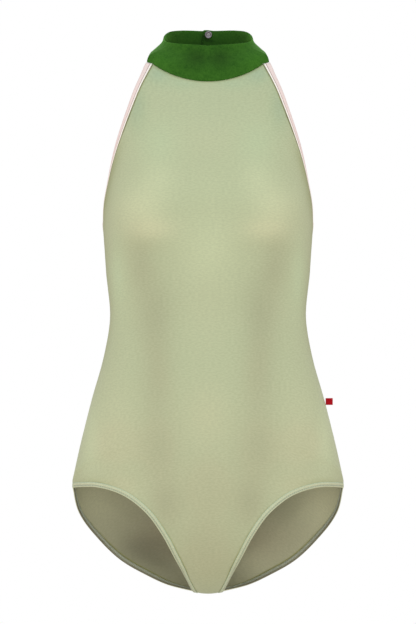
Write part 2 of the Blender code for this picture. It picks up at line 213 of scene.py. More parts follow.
FRONT_LEG = [Section(*row) for row in [
    CROTCH,
    (-17.0, 2.8, 14.8, -15.0, 4.6, 16, 1),
    (-40.0, 14.5, 21.9, -38.0, 19.9, 20, 1),
    (-61.0, 34.5, 28.7, -60.0, 38.0, 24, 1),
    (-75.5, 58.5, 37.1, -73.5, 56.6, 28, 1),
    (-88.0, 93.0, 51.7, -85.5, 85.5, 33, 1),
    (-94.5, 125.0, 72.0, -88.0, 113.0, 40, 1),
    (-98.0, 152.0, 101.4, -79.0, 134.2, 51, 1),
    (-99.5, 173.0, 135.7, -58.0, 143.0, 65, 1),
    (-100.0, 187.0, 156.5, -32.0, 141.5, 78, 1),
    (-100.0, 200.0, 169.3, 0.0, 138.5, 90, 1),
]]
FRONT_SIDE = [Section(*row) for row in [
    FRONT_LEG[-1],
    (-99.5, 228.0, 160.0, 0.0, 181.6, 90, 1),
    (-97.0, 266.0, 145.0, 0.0, 241.6, 90, 1),
    (-92.5, 312.0, 129.0, 0.0, 301.6, 90, 1),
    (-90.0, 346.0, 122.6, 0.0, 341.6, 90, 1),
    (-94.0, 400.0, 127.3, 0.0, 401.6, 90, 1),
    (-104.0, 456.0, 131.2, 0.0, 459.0, 90, 1),
]]
FRONT_ARMHOLE = [Section(*row) for row in [
    FRONT_SIDE[-1],
    (-107.0, 488.0, 129.5, -12.0, 486.1, 87, 1),
    (-103.5, 522.0, 123.4, -23.0, 515.3, 82, 1),
    (-96.0, 553.0, 115.4, -37.0, 544.1, 75, 1),
    (-87.5, 580.0, 105.2, -47.0, 573.0, 69, 1),
    (-79.0, 602.0, 94.0, -51.0, 602.2, 63, 1),
    (-70.5, 621.0, 81.8, -47.0, 632.1, 52, 1),
    (-64.0, 634.0, 68.5, -36.0, 658.6, 38, 1),
]]
BACK_LEG = [Section(*row) for row in [
    CROTCH,
    (17.0, 0.2, 13.8, 14.0, 1.1, 17, 1),
    (33.0, 1.0, 18.6, 29.0, 1.2, 22, 1),
    (58.0, 5.5, 33.0, 49.5, 3.0, 27, 1),
    (76.0, 15.0, 50.0, 65.0, 7.2, 32, 1),
    (93.0, 35.0, 74.6, 81.5, 17.9, 40, 1),
    (105.0, 66.0, 107.8, 89.0, 36.6, 50, 1),
    (112.0, 105.0, 140.3, 73.0, 69.4, 66, 1),
    (114.5, 148.0, 161.6, 42.0, 101.6, 80, 1),
    (113.0, 190.0, 169.3, 0.0, 138.5, 90, 1),
]]
BACK_SIDE = [Section(*row) for row in [
    BACK_LEG[-1],
    (108.0, 222.0, 160.0, 0.0, 181.6, 90, 1),
    (98.0, 264.0, 145.0, 0.0, 241.6, 90, 1),
    (86.0, 311.0, 129.0, 0.0, 301.6, 90, 1),
    (81.0, 345.0, 122.6, 0.0, 341.6, 90, 1),
    (84.0, 384.0, 127.3, 0.0, 401.6, 90, 1.5),
    (90.0, 417.0, 131.2, 0.0, 459.0, 90, 2.2),
]]
print(len(FRONT_LEG) + len(FRONT_SIDE) + len(FRONT_ARMHOLE), "sections in the front,",
      len(BACK_LEG) + len(BACK_SIDE), "in the back")


# %% Reading the sections smoothly
SEAM_STEPS = (0.5, 1.1, 2.0, 3.4)     # distances from a seam that get a line of points each
FRONT_ROWS = (56, 52, 44)             # rows of quads beside the leg, the side and the armhole
BACK_ROWS = (56, 52)


def smooth_through(knots, values, at):
    """A smooth curve through the values at the knots, read at other places."""
    knots, values, at = (np.asarray(part, float) for part in (knots, values, at))
    slopes = np.gradient(values, knots, axis=0)
    piece = np.clip(np.searchsorted(knots, at, side="right") - 1, 0, len(knots) - 2)
    span = (knots[piece + 1] - knots[piece])[:, None]
    t = (at[:, None] - knots[piece][:, None]) / span
    start, end = values[piece], values[piece + 1]
    slope_in, slope_out = slopes[piece] * span, slopes[piece + 1] * span
    return ((2 * t**3 - 3 * t**2 + 1) * start + (t**3 - 2 * t**2 + t) * slope_in
            + (3 * t**2 - 2 * t**3) * end + (t**3 - t**2) * slope_out)


def walked(points):
    """How far along a line each of its points lies."""
    steps = np.linalg.norm(np.diff(points, axis=0), axis=1)
    return np.concatenate([[0.0], np.cumsum(steps)])


def loft(blocks, counts):
    """Sections between the tables' rows, and the number of the last row of each block."""
    table = np.array([blocks[0][0]] + [row for block in blocks for row in block[1:]], float)
    knots = (walked(table[:, 0:2]) + walked(table[:, 2:5])) / 2
    lofted, ends, first = [], [], 0
    for number, (block, count) in enumerate(zip(blocks, counts)):
        last = first + len(block) - 1
        at = np.linspace(knots[first], knots[last], count + 1)
        if number == 0:
            at = np.concatenate([at, knots[first] + np.array(SEAM_STEPS)])
        if number == len(blocks) - 1:
            at = np.concatenate([at, knots[last] - np.array(SEAM_STEPS)])
        at = np.sort(at)
        centre = smooth_through(knots, table[:, 0:2], at)
        edge = smooth_through(knots[first:last + 1], table[first:last + 1, 2:], at)
        rows = np.hstack([centre, edge])
        lofted.append(rows if first == 0 else rows[1:])
        ends.append(sum(len(part) for part in lofted) - 1)
        first = last
    return np.vstack(lofted), ends


front_sections, front_ends = loft([FRONT_LEG, FRONT_SIDE, FRONT_ARMHOLE], FRONT_ROWS)
back_sections, _ = loft([BACK_LEG, BACK_SIDE], BACK_ROWS)
print("front rows", len(front_sections), "back rows", len(back_sections))


# %% Points across a section
def bust_swell(x, z, along):
    """The soft swell of the front's cut over one side of the chest, gone at the side seam."""
    away = ((np.abs(x) - BUST_PLACE[0]) ** 2 + (z - BUST_PLACE[1]) ** 2) / (2 * BUST_SPREAD**2)
    return BUST_SWELL * np.exp(-away) * (1 - np.abs(along) ** 4)


def across(section, along, side):
    """Points of a section: along is -1 and 1 at the edges and 0 at the centre line."""
    centre_y, centre_z, edge_x, edge_y, edge_z, sweep, climb = section
    sweep = math.radians(sweep)
    angle = np.abs(along) * sweep
    x = np.sign(along) * edge_x * np.sin(angle) / math.sin(sweep)
    arc = (1 - np.cos(angle)) / (1 - math.cos(sweep))
    y = centre_y + (edge_y - centre_y) * arc
    z = centre_z + (edge_z - centre_z) * arc**climb
    if side < 0:
        y = y - bust_swell(x, z, along)
    return np.stack([x, y + side * SEAM_GAP / 2, z], axis=-1)


HALF_COLUMNS = 40
FINE = np.linspace(0.0, 1.0, 81)      # places across a section where it is measured


def panel_rows(sections, side):
    """A grid over a panel, with even steps inside and short ones along its edges."""
    grid, from_edge, sideways = [], [], []
    for section in sections:
        lengths = walked(across(section, FINE, side))
        half = lengths[-1]
        near = half - np.array(SEAM_STEPS)[::-1]
        inner = np.linspace(0.0, near[0], HALF_COLUMNS + 1)[:-1]
        stops = np.concatenate([inner, near, [half]])
        along = np.interp(stops, lengths, FINE)
        along = np.concatenate([-along[:0:-1], along])
        stops = np.concatenate([-stops[:0:-1], stops])
        grid.append(across(section, along, side))
        from_edge.append(half - np.abs(stops))
        sideways.append(stops)
    return np.array(grid), np.array(from_edge), np.array(sideways)


front_grid, front_from_edge, front_sideways = panel_rows(front_sections, -1)
back_grid, back_from_edge, back_sideways = panel_rows(back_sections, 1)
print("front grid", front_grid.shape, "back grid", back_grid.shape)

# %% [markdown]
# ## Creases and puckers
#
# Stretch jersey lies almost smooth. What is left are a few long soft hollows where the cloth
# is pulled: from the corners of the collar, under the chest, beside the belly and towards the
# crotch. Each is one row of a table: where it is, how long and wide, which way it runs and how
# deep it goes. Along a hem the stitches gather the cloth into tiny puckers, and at every seam
# it dips into the stitches. Moving the points of the grid gives real shape, where a bump
# in the finish would only shade it.

# %% Soft folds
# Place, half length and half width, the turn in degrees, and how far it rises or sinks.
Fold = namedtuple("Fold", "x z run wide turn rise")
FRONT_FOLDS = [Fold(*row) for row in [
    (60.0, 640.0, 20.0, 5.5, 35.0, -0.7),
    (44.0, 612.0, 24.0, 8.0, 22.0, -0.5),
    (96.0, 590.0, 20.0, 6.0, -24.0, -0.5),
    (80.0, 426.0, 12.0, 30.0, 0.0, -1.6),
    (112.0, 452.0, 11.0, 6.0, 60.0, -0.7),
    (0.0, 470.0, 52.0, 16.0, 0.0, -0.8),
    (92.0, 372.0, 56.0, 15.0, 2.0, -1.8),
    (68.0, 282.0, 58.0, 15.0, 20.0, -2.2),
    (122.0, 208.0, 38.0, 18.0, 14.0, 1.4),
    (104.0, 330.0, 9.0, 4.5, 78.0, -0.6),
    (108.0, 356.0, 8.0, 4.0, 96.0, -0.5),
    (40.0, 96.0, 30.0, 7.0, -34.0, -0.6),
    (22.0, 52.0, 22.0, 5.0, -20.0, -0.5),
    (118.0, 172.0, 26.0, 6.0, -62.0, -0.5),
    (72.0, 169.0, 24.0, 1.8, 84.0, -0.35),
    (24.0, 160.0, 20.0, 1.8, 78.0, -0.25),
    (84.0, 246.0, 26.0, 2.0, 86.0, -0.25),
]]
BACK_FOLDS = [Fold(*row) for row in [
    (92.0, 352.0, 14.0, 5.0, 74.0, -0.9),
    (86.0, 326.0, 18.0, 6.0, 82.0, -0.8),
    (58.0, 384.0, 22.0, 7.0, 58.0, -0.7),
    (0.0, 330.0, 60.0, 14.0, 0.0, -1.6),
    (52.0, 40.0, 30.0, 7.0, 62.0, -0.8),
    (30.0, 20.0, 20.0, 5.0, 50.0, -0.6),
    (112.0, 92.0, 28.0, 7.0, 48.0, -0.7),
]]
FAR_SIDE = 0.92            # a fold's twin on the other side is a little weaker


def fold_rise(x, z, folds):
    """How far the soft folds move the cloth outwards at each place."""
    rise = np.zeros_like(x)
    for fold in folds:
        twins = [(fold.x, 1.0, 1.0), (-fold.x, -1.0, FAR_SIDE)]
        for centre, mirror, strength in twins[:1] if fold.x == 0 else twins:
            turn = math.radians(fold.turn) * mirror
            right, up = x - centre, z - fold.z
            along = up * math.cos(turn) + right * math.sin(turn)
            beside = right * math.cos(turn) - up * math.sin(turn)
            shape = np.exp(-(along / fold.run) ** 2 - (beside / fold.wide) ** 2)
            rise += strength * fold.rise * shape
    return rise


# %% Puckers along the edges
PUCKER = 0.13              # height of the puckers beside a hem, in millimetres
PUCKER_REACH = 6.0
PUCKER_WAVES = [(7.3, 0.4), (11.2, 2.1), (17.9, 4.4)]     # length in millimetres, and phase
END_DIP = 0.25             # dip into the seams under the collar and at the crotch
SEAM_DIP_REACH = 1.0
# The dip beside a panel's edge by the height of the edge: small at a stitched hem.
DIP_BY_HEIGHT = [(0.0, 0.30), (60.0, 0.12), (138.0, 0.10), (150.0, 0.45)]
LEVEL = np.array([1.0, 1.0, 0.0])     # times this, a direction lies level


def bell(distance, reach):
    """1 where the distance is nothing, and fading softly to 0 over about twice the reach."""
    return np.exp(-(distance / reach) ** 2)


def units(vectors):
    """The same directions, each of them one long."""
    return vectors / np.linalg.norm(vectors, axis=-1, keepdims=True)


def face_directions(grid):
    """The direction off the cloth at every point of a grid, away from the body's axis."""
    normals = units(np.cross(np.gradient(grid, axis=1), np.gradient(grid, axis=0)))
    return normals * np.sign((normals * grid * LEVEL).sum())


def ends_of(grid):
    """How far up its centre line each row is, and how far from the nearer end seam."""
    up = walked(grid[:, grid.shape[1] // 2])[:, None]
    return up, np.minimum(up, up[-1] - up)


def edge_rise(grid, from_edge):
    """The puckers and the dip into the seam, from how far each point is from its edge."""
    half = grid.shape[1] // 2
    run = np.repeat([walked(grid[:, 0]), walked(grid[:, -1])],
                    [half, grid.shape[1] - half], axis=0).T
    ripple = sum(np.sin(2 * math.pi * run / length + phase) for length, phase in PUCKER_WAVES)
    dip = np.interp(grid[:, -1, 2], *zip(*DIP_BY_HEIGHT))[:, None]
    return (PUCKER * np.exp(-from_edge / PUCKER_REACH) * ripple / len(PUCKER_WAVES)
            - dip * bell(from_edge, SEAM_DIP_REACH))


def shaped(grid, from_edge, folds):
    """The grid with its folds, its puckers and its dips into the end seams."""
    rise = fold_rise(grid[..., 0], grid[..., 2], folds) + edge_rise(grid, from_edge)
    rise -= END_DIP * bell(ends_of(grid)[1], SEAM_DIP_REACH)
    return grid + face_directions(grid) * rise[..., None]


front_cloth_grid = shaped(front_grid, front_from_edge, FRONT_FOLDS)
back_cloth_grid = shaped(back_grid, back_from_edge, BACK_FOLDS)
print("folds move the front by up to",
      round(float(np.abs(front_cloth_grid - front_grid).max()), 2), "mm")

# %% [markdown]
# ## Finishes
#
# A cloth finish is made of layers, as the cloth is: the knitted loops, which are a fine relief
# about half a millimetre across, the unevenness of the dye and of the yarn, and the fibres that
# stand off the face. Over these it carries painted shade in the seams, and painted highlights,
# shade and tints in soft spots. The loops are drawn from the place on the flat cloth, which
# every point of a grid carries as an attribute called cloth, so they follow the cut as real wales
# and courses do. A second attribute called seam is 1 at a seam and fades away from it, and sets
# how much painted shade lies there. Jersey is matt, so the shader's gloss is very low: even a
# little more of it would wash out the colour where one looks along the cloth.

# %% Helpers for a finish
def maths(tree, operation, first, second=0.0):
    """The output of one Math node."""
    return wire(tree, "ShaderNodeMath", {"operation": operation}, i0=first, i1=second).outputs[0]


def mixed(tree, amount, first, second, blend="MIX"):
    """The output of a colour mix: first at amount 0 and second, or their blend, at 1."""
    return wire(tree, "ShaderNodeMix", {"data_type": "RGBA", "blend_type": blend}, i0=amount,
                i6=first, i7=second).outputs[2]


def ramp(tree, value, low, high, start=0.0, end=1.0, kind="LINEAR"):
    """A value from low to high, turned into one from start to end."""
    return wire(tree, "ShaderNodeMapRange", {"interpolation_type": kind}, Value=value,
                From_Min=low, From_Max=high, To_Min=start, To_Max=end).outputs["Result"]


def attribute(tree, name, output="Fac"):
    """What the points of a mesh carry under a name."""
    return wire(tree, "ShaderNodeAttribute", {"attribute_name": name}).outputs[output]


def on_cloth(tree):
    """The place on the flat cloth, across it and along it, in metres."""
    split = wire(tree, "ShaderNodeSeparateXYZ", Vector=attribute(tree, "cloth", "Vector"))
    return split.outputs["X"], split.outputs["Y"]


def speckle(tree, size, detail=2.0):
    """Soft noise with features of about this size in metres, from 0 to 1."""
    where = wire(tree, "ShaderNodeTexCoord").outputs["Object"]
    return wire(tree, "ShaderNodeTexNoise", Vector=where, Scale=1.0 / size,
                Detail=detail).outputs["Fac"]


def lightened(tree, colour, name):
    """A colour made paler or deeper by what the points carry under a name."""
    pale = maths(tree, "ADD", attribute(tree, name), 1.0)
    return wire(tree, "ShaderNodeHueSaturation", Value=pale, Color=colour).outputs["Color"]


def relief(tree, shader, height, deep, strength):
    """Fine relief on the face, from a height of 0 to 1 that stands for so many metres."""
    bump = wire(tree, "ShaderNodeBump", Height=height, Distance=deep, Strength=strength)
    feed(tree, shader, Normal=bump.outputs["Normal"])


# %% Sage jersey
WALE, COURSE = 0.00046, 0.00036       # one column and one row of loops
LOOP_HEIGHT = 0.000022
CLOUD = 0.035                         # size of the soft clouds in the dye
STREAK = (0.0040, 0.0016)             # width and height of the yarn's dark streaks
STREAK_RANGE = (0.36, 0.64)           # the noise at which a streak starts and is full
STREAK_SHADE = 0.945                  # how dark a full streak is
# The tables' warm column paints warmer or cooler tints of the light; a small warm tone lies
# everywhere as the cloth's own.
WARM_TINT, COOL_TINT = (1.10, 0.995, 1.0), (0.92, 1.0, 1.06)
FULL_WARMTH = 0.10                    # the warmth in the tables that takes the whole tint
SAGE, SAGE_DEEP = (0.502, 0.552, 0.352), (0.471, 0.522, 0.329)
# The colour of the painted shade at the seams and along the sides.
SAGE_SEAM_SHADE = (0.275, 0.280, 0.090)
SAGE_INSIDE, SAGE_INSIDE_DEEP = (0.395, 0.410, 0.280), (0.370, 0.385, 0.260)
HEM_INSIDE = (0.405, 0.415, 0.310)
SAGE_SHEEN = (0.90, 1.0, 0.80)


def loops(tree):
    """The height of knitted loops: each column of them is a chain of small Vs."""
    wide, tall = on_cloth(tree)
    column = maths(tree, "DIVIDE", wide, WALE)
    row = maths(tree, "DIVIDE", tall, COURSE)
    lean = maths(tree, "ABSOLUTE", maths(tree, "SUBTRACT", maths(tree, "FRACT", column), 0.5))
    chain = maths(tree, "SINE", maths(tree, "MULTIPLY", maths(tree, "ADD", row, lean), 2 * math.pi))
    ridge = maths(tree, "SINE", maths(tree, "MULTIPLY", lean, 2 * math.pi))
    return maths(tree, "ADD", maths(tree, "MULTIPLY", chain, 0.4), ridge)


def streaks(tree):
    """Uneven yarn: short streaks that run along the rows of loops."""
    wide, tall = on_cloth(tree)
    where = wire(tree, "ShaderNodeCombineXYZ", X=maths(tree, "DIVIDE", wide, STREAK[0]),
                 Y=maths(tree, "DIVIDE", tall, STREAK[1])).outputs["Vector"]
    noise = wire(tree, "ShaderNodeTexNoise", Vector=where, Scale=1.0, Detail=1.0)
    return ramp(tree, noise.outputs["Fac"], *STREAK_RANGE)


def sage_jersey(name, light=SAGE, deep=SAGE_DEEP, seam=SAGE_SEAM_SHADE, loop_height=LOOP_HEIGHT,
                painted_light="painted_light"):
    """Smooth elastic jersey with a soft matt face; its colour also carries painted light and shade.
    """
    made, tree, shader = new_finish(name)
    cloudy = speckle(tree, CLOUD, 4.0)
    colour = mixed(tree, cloudy, light, deep)
    colour = mixed(tree, streaks(tree), colour, tuple(STREAK_SHADE * part for part in deep))
    # Painted highlights and painted shade, read from the soft spots.
    colour = lightened(tree, colour, painted_light)
    # Painted tints of warmer and cooler light, over the cloth's own warm tone.
    for tint, sign in ((WARM_TINT, 1.0), (COOL_TINT, -1.0)):
        amount = maths(tree, "DIVIDE", attribute(tree, "tone_and_painted_tint"), sign * FULL_WARMTH)
        colour = mixed(tree, amount, colour, tint, "MULTIPLY")
    colour = mixed(tree, attribute(tree, "inner"), colour, HEM_INSIDE)
    # Painted shade in the seams and towards the sides.
    colour = mixed(tree, attribute(tree, "seam"), colour, seam)
    feed(tree, shader, Base_Color=colour, Roughness=ramp(tree, cloudy, 0.0, 1.0, 0.36, 0.42),
         Specular_IOR_Level=0.05, Sheen_Weight=0.03, Sheen_Roughness=0.45,
         Sheen_Tint=SAGE_SHEEN)
    relief(tree, shader, loops(tree), deep=loop_height, strength=0.5)
    return made


front_jersey = sage_jersey("Sage jersey front")
back_jersey = sage_jersey("Sage jersey back")
inner_jersey = sage_jersey("Sage jersey inside", SAGE_INSIDE, SAGE_INSIDE_DEEP,
                           painted_light="inside_painted_light")
print("loops of", round(WALE / MM, 2), "by", round(COURSE / MM, 2), "mm")

# %% [markdown]
# ## From a grid to a piece
#
# Every piece of cloth here starts as a grid of points, so a few helpers serve them all: one
# lists the quads between the points, one makes the object and says which CAD solid it takes the
# place of, and two store what the finishes read at each point.

# %% Meshes from grids
def place(points):
    """Points of the tables, in metres from the origin."""
    return (np.asarray(points, float) - np.array([0.0, 0.0, NECK_HEIGHT])) * MM


def put_floats(mesh, name, values):
    """One number for every point of a mesh."""
    mesh.attributes.new(name, "FLOAT", "POINT").data.foreach_set("value", np.ravel(values))


def put_cloth(mesh, wide, tall):
    """The place on the flat cloth for every point of a grid, from millimetres."""
    flat = np.stack(np.broadcast_arrays(wide * MM, tall * MM, 0.0), axis=-1)
    mesh.attributes.new("cloth", "FLOAT_VECTOR", "POINT").data.foreach_set("vector",
                                                                          np.ravel(flat))


def grid_faces(rows, columns, around_rows=False, around_columns=False):
    """The quads of a grid, which may close on itself either way."""
    faces = []
    for row in range(rows if around_rows else rows - 1):
        for column in range(columns if around_columns else columns - 1):
            beside, above = (column + 1) % columns, (row + 1) % rows
            faces.append((row * columns + column, row * columns + beside,
                          above * columns + beside, above * columns + column))
    return faces


def new_piece(name, points, faces, finish, slot, replaced=()):
    """A shown piece, riding on the one body, in place of CAD nodes."""
    mesh = bpy.data.meshes.new(name)
    mesh.from_pydata(place(points).reshape(-1, 3).tolist(), [], faces)
    mesh.materials.append(finish)
    mesh.shade_smooth()
    made = bpy.data.objects.new(name, mesh)
    scene.collection.objects.link(made)
    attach(made, "root")
    if replaced:
        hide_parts(*replaced)
    return made


def face_out(made, merge=0.0):
    """Turns the faces of a closed piece outwards, after joining points closer than merge."""
    shell = bmesh.new()
    shell.from_mesh(made.data)
    if merge:
        bmesh.ops.remove_doubles(shell, verts=shell.verts, dist=merge)
    bmesh.ops.recalc_face_normals(shell, faces=shell.faces)
    shell.to_mesh(made.data)
    shell.free()


# %% [markdown]
# ## Sewing the front and the back
#
# A panel is an open grid of quads, with Solidify giving it the thickness of the cloth on its
# inner side. Both panels keep the leg, arm and back openings free, so one looks through them at
# the inside of the cloth. Light and shade are painted into the cloth's colour in soft spots:
# painted highlights over the chest and the hips, painted shade between them, and warmer or
# cooler painted tints of the light. A short table of soft spots says where, and the finish reads
# it. Painting a texture onto the cloth would do it too, but a spot in a table can be moved by
# changing one number.

# %% Where light and shade are painted on the cloth
# Place, half width and half height, how much paler (painted light) or deeper (painted shade),
# and how much warmer (painted tint).
Spot = namedtuple("Spot", "x z wide tall amount warm", defaults=[0.0])
BASE_WARMTH = 0.04
FRONT_PAINTED_SPOTS = [Spot(*row) for row in [
    (0, 560, 45, 30, 0.02, 0.02), (60, 560, 25, 30, 0.06, -0.04), (60, 647, 16, 13, -0.05, -0.12),
    (88, 604, 12, 28, -0.07, -0.08), (30, 632, 20, 8, 0.0, -0.06), (0, 500, 35, 30, 0.04, 0.0),
    (60, 515, 22, 22, 0.10, 0.01), (80, 480, 30, 26, 0.14, 0.03), (68, 452, 28, 14, 0.11, 0.06),
    (0, 430, 40, 40, 0.14, 0.0), (82, 410, 17, 32, -0.11, 0.03), (112, 400, 9, 45, 0.08, -0.04),
    (105, 380, 18, 40, 0.04, -0.02), (0, 350, 30, 60, 0.03, 0.02), (64, 350, 22, 45, -0.14, 0.03),
    (62, 270, 20, 50, -0.11, 0.05), (0, 225, 32, 40, 0.05, 0.05), (110, 235, 26, 36, 0.03, 0.02),
    (60, 185, 24, 38, -0.11, 0.08), (112, 190, 28, 26, 0.01, 0.09),
    (145, 200, 12, 40, 0.12, -0.02), (0, 140, 30, 36, -0.05, 0.09),
    (52, 120, 20, 30, -0.14, 0.06), (105, 140, 26, 16, 0.02, 0.05), (0, 60, 40, 45, -0.08, 0.07),
]]
BACK_PAINTED_SPOTS = [Spot(*row) for row in [
    (70, 170, 45, 55, 0.07, 0.05), (0, 330, 60, 50, -0.05, 0.02), (0, 200, 20, 80, -0.04, 0.03),
    (60, 60, 50, 30, -0.05, 0.06),
]]
# The inner side gets painted highlights and shade too, where light falls unevenly through the
# openings. Its x keeps its sign, so the two sides differ.
INSIDE_PAINTED_LIFT = 0.10
INSIDE_PAINTED_SPOTS = [Spot(*row) for row in [
    (-150, 120, 34, 42, 0.42, 0.0), (-105, 108, 40, 24, 0.16, 0.0), (-84, 46, 36, 24, -0.42, 0.0),
    (-60, 28, 22, 14, -0.15, 0.0), (152, 112, 36, 48, 0.62, 0.0), (100, 75, 60, 50, 0.10, 0.0),
    (55, 28, 34, 22, 0.28, 0.0),
]]


def spots_at(x, z, spots, column="amount"):
    """What the soft spots of a table add up to at each place, in one of its columns."""
    total = np.zeros_like(x)
    for spot in spots:
        near = np.exp(-((x - spot.x) / spot.wide) ** 2 - ((z - spot.z) / spot.tall) ** 2)
        total += getattr(spot, column) * near
    return total


print(len(FRONT_PAINTED_SPOTS) + len(BACK_PAINTED_SPOTS), "soft spots outside,", len(INSIDE_PAINTED_SPOTS), "inside")


# %% Shade along the seams
SEAM_SHADE = 1.6           # how far the shade of a seam reaches over the cloth, in millimetres
# How dark the painted shade at the edge is, by the height of the edge: weak up the leg,
# where a stitched hem covers the seam.
SEAM_SHARE = [(0.0, 1.0), (55.0, 0.75), (85.0, 0.3), (138.0, 0.1), (150.0, 0.8)]
END_SHARE = 0.4            # the same for the seams under the collar and at the crotch
# Painted shade towards the side seams, darkest under the arms, where the cloth turns away at
# the outline.
SideShade = namedtuple("SideShade", "z share reach")
SIDE_SHADE = [SideShade(*row) for row in [
    (138, 0.0, 10), (150, 0.45, 10), (200, 0.45, 10),
    (260, 0.45, 13), (300, 0.50, 18), (400, 0.50, 21),
    (450, 0.70, 26), (490, 0.95, 27), (530, 0.60, 18),
    (570, 0.0, 12),
]]


def read_at(stops, knots, table):
    """Every column of a table, read by straight lines between its knots."""
    return np.stack([np.interp(stops, knots, column) for column in np.array(table, float).T],
                    axis=1)


def seam_shade(heights, from_edge, from_ends):
    """How much painted shade the cloth gets beside its seams and along its sides."""
    share = np.interp(heights, *zip(*SEAM_SHARE))[:, None]
    knots = [row.z for row in SIDE_SHADE]
    _, side_share, side_reach = read_at(heights, knots, SIDE_SHADE).T[..., None]
    stitched = np.maximum(share * bell(from_edge, SEAM_SHADE),
                          END_SHARE * bell(from_ends, SEAM_SHADE))
    return np.maximum(stitched, side_share * bell(from_edge, side_reach))


print("the side shade reaches", max(row.reach for row in SIDE_SHADE), "mm under the arms")


# %% The two panels
def panel(name, grid, from_edge, sideways, finish, replaced, spots):
    """A panel of jersey, which carries its painted shade, highlights and tints."""
    faces = grid_faces(*grid.shape[:2])
    corner, beside, _, above = grid.reshape(-1, 3)[list(faces[len(faces) // 2])]
    if np.dot(np.cross(beside - corner, above - corner), corner * LEVEL) < 0:
        faces = [face[::-1] for face in faces]
    made = new_piece(name, grid, faces, finish, "sage_cloth", [replaced])
    up, from_ends = ends_of(grid)
    x, z = grid[..., 0], grid[..., 2]
    # Painted shade at the seams and along the sides.
    put_floats(made.data, "seam", seam_shade(z[:, -1], from_edge, from_ends))
    # Painted highlights and painted shade from the soft spots, outside and inside.
    put_floats(made.data, "painted_light", spots_at(np.abs(x), z, spots))
    put_floats(made.data, "inside_painted_light", INSIDE_PAINTED_LIFT + spots_at(x, z, INSIDE_PAINTED_SPOTS))
    # The cloth's own warm tone, plus painted tints of the light from the soft spots.
    put_floats(made.data, "tone_and_painted_tint", BASE_WARMTH + spots_at(np.abs(x), z, spots, "warm"))
    put_cloth(made.data, sideways, up)
    made.data.materials.append(inner_jersey)
    wall = made.modifiers.new("Thickness", "SOLIDIFY")
    wall.thickness = CLOTH * MM
    wall.offset = -1.0
    wall.use_even_offset = True
    wall.material_offset = 1
    return made


front_panel = panel("front_panel", front_cloth_grid, front_from_edge, front_sideways,
                    front_jersey, "front", FRONT_PAINTED_SPOTS)
back_panel = panel("back_panel", back_cloth_grid, back_from_edge, back_sideways,
                   back_jersey, "back", BACK_PAINTED_SPOTS)
print("front and back sewn from", len(front_panel.data.polygons) + len(back_panel.data.polygons),
      "quads")

# %% [markdown]
# ## Following an edge
#
# Hems, bindings, seams and stitches all run along an edge of a panel. A station on the edge
# knows its place, the direction in which the cloth ends and the direction off its face. A
# flat band is then a small profile carried from station to station, and a stitch sits at a
# distance out and a height over the face. Working out the stations once keeps everything that
# is sewn to the edge parallel to it.

# %% Stations along the edges
Edge = namedtuple("Edge", "points off normals run")
MIRROR = np.array([-1.0, 1.0, 1.0])
BESIDE = 0.96              # where the line next to the edge is read, to find the cloth's direction
HIP = np.array([0.0, 0.0, 200.0])
CHEST = np.array([0.0, 0.0, 500.0])
LEG_STATIONS, ARMHOLE_STATIONS, BACK_STATIONS = 360, 110, 150


def edge_of(sections, side, inside):
    """The edge of a panel along some of its sections, and a place inside the body for each."""
    points, before = (np.array([across(section, np.array([along]), side)[0]
                                for section in sections]) for along in (1.0, BESIDE))
    return points, points - before, np.array([inside] * len(points))


def stations(points, off, inside, closed):
    """The directions at every point of an edge that has been joined up."""
    if closed:
        around = np.vstack([points[-2:], points, points[:2]])
        tangents = units(np.gradient(around, axis=0)[2:-2])
    else:
        tangents = units(np.gradient(points, axis=0))
    off = units(off - tangents * (off * tangents).sum(axis=1, keepdims=True))
    normals = units(np.cross(tangents, off))
    outward = (normals * (points - inside)).sum(axis=1)
    normals = np.where(outward[:, None] < 0, -normals, normals)
    return Edge(points, off, normals, walked(points))


def spaced(points, off, inside, count, closed):
    """Evenly spaced stations along an edge, all the way round where it is closed."""
    tables = [np.vstack([table, table[:1]]) if closed else table for table in (points, off, inside)]
    runs = walked(tables[0])
    stops = np.linspace(0.0, runs[-1], count, endpoint=not closed)
    return stations(*(read_at(stops, runs, table) for table in tables), closed)


def mirrored(edge):
    """The same edge on the other side of the body."""
    return Edge(edge.points * MIRROR, edge.off * MIRROR, edge.normals * MIRROR, edge.run)


# %% The edges of the openings
SIDE_X = 100.0             # a leg opening's points further out than this are at its side
CORNER_REACH = 11.0        # there the hem hangs straight down as it rounds the side
ROWS_BELOW = 5             # the back's rows between which the cloth's direction is read

LEG_END, SIDE_END = front_ends[0], front_ends[1]
front_leg = edge_of(front_sections[:LEG_END + 1], -1, HIP)
back_leg = edge_of(back_sections[:LEG_END + 1], 1, HIP)
leg_parts = [np.vstack([ahead[:-1], behind[::-1][:-1]]) for ahead, behind in
             zip(front_leg, back_leg)]
leg_edge = spaced(*leg_parts, LEG_STATIONS, True)
at_side = bell(leg_edge.points[:, 1], CORNER_REACH) * (leg_edge.points[:, 0] > SIDE_X)
straight = leg_edge.off.copy()
straight[:, 0] *= 1 - at_side
leg_edge = leg_edge._replace(off=units(straight))
armhole_edge = spaced(*edge_of(front_sections[SIDE_END:], -1, CHEST), ARMHOLE_STATIONS, False)
top = back_grid[-1]
back_edge = spaced(top, top - back_grid[-1 - ROWS_BELOW], np.array([CHEST] * len(top)),
                   BACK_STATIONS, False)
leg_edges = {"left": leg_edge, "right": mirrored(leg_edge)}
bound_edges = {"left": armhole_edge, "right": mirrored(armhole_edge), "back": back_edge}
print("leg opening", round(leg_edge.run[-1]), "mm round, armhole front",
      round(armhole_edge.run[-1]), "mm, open back", round(back_edge.run[-1]), "mm")


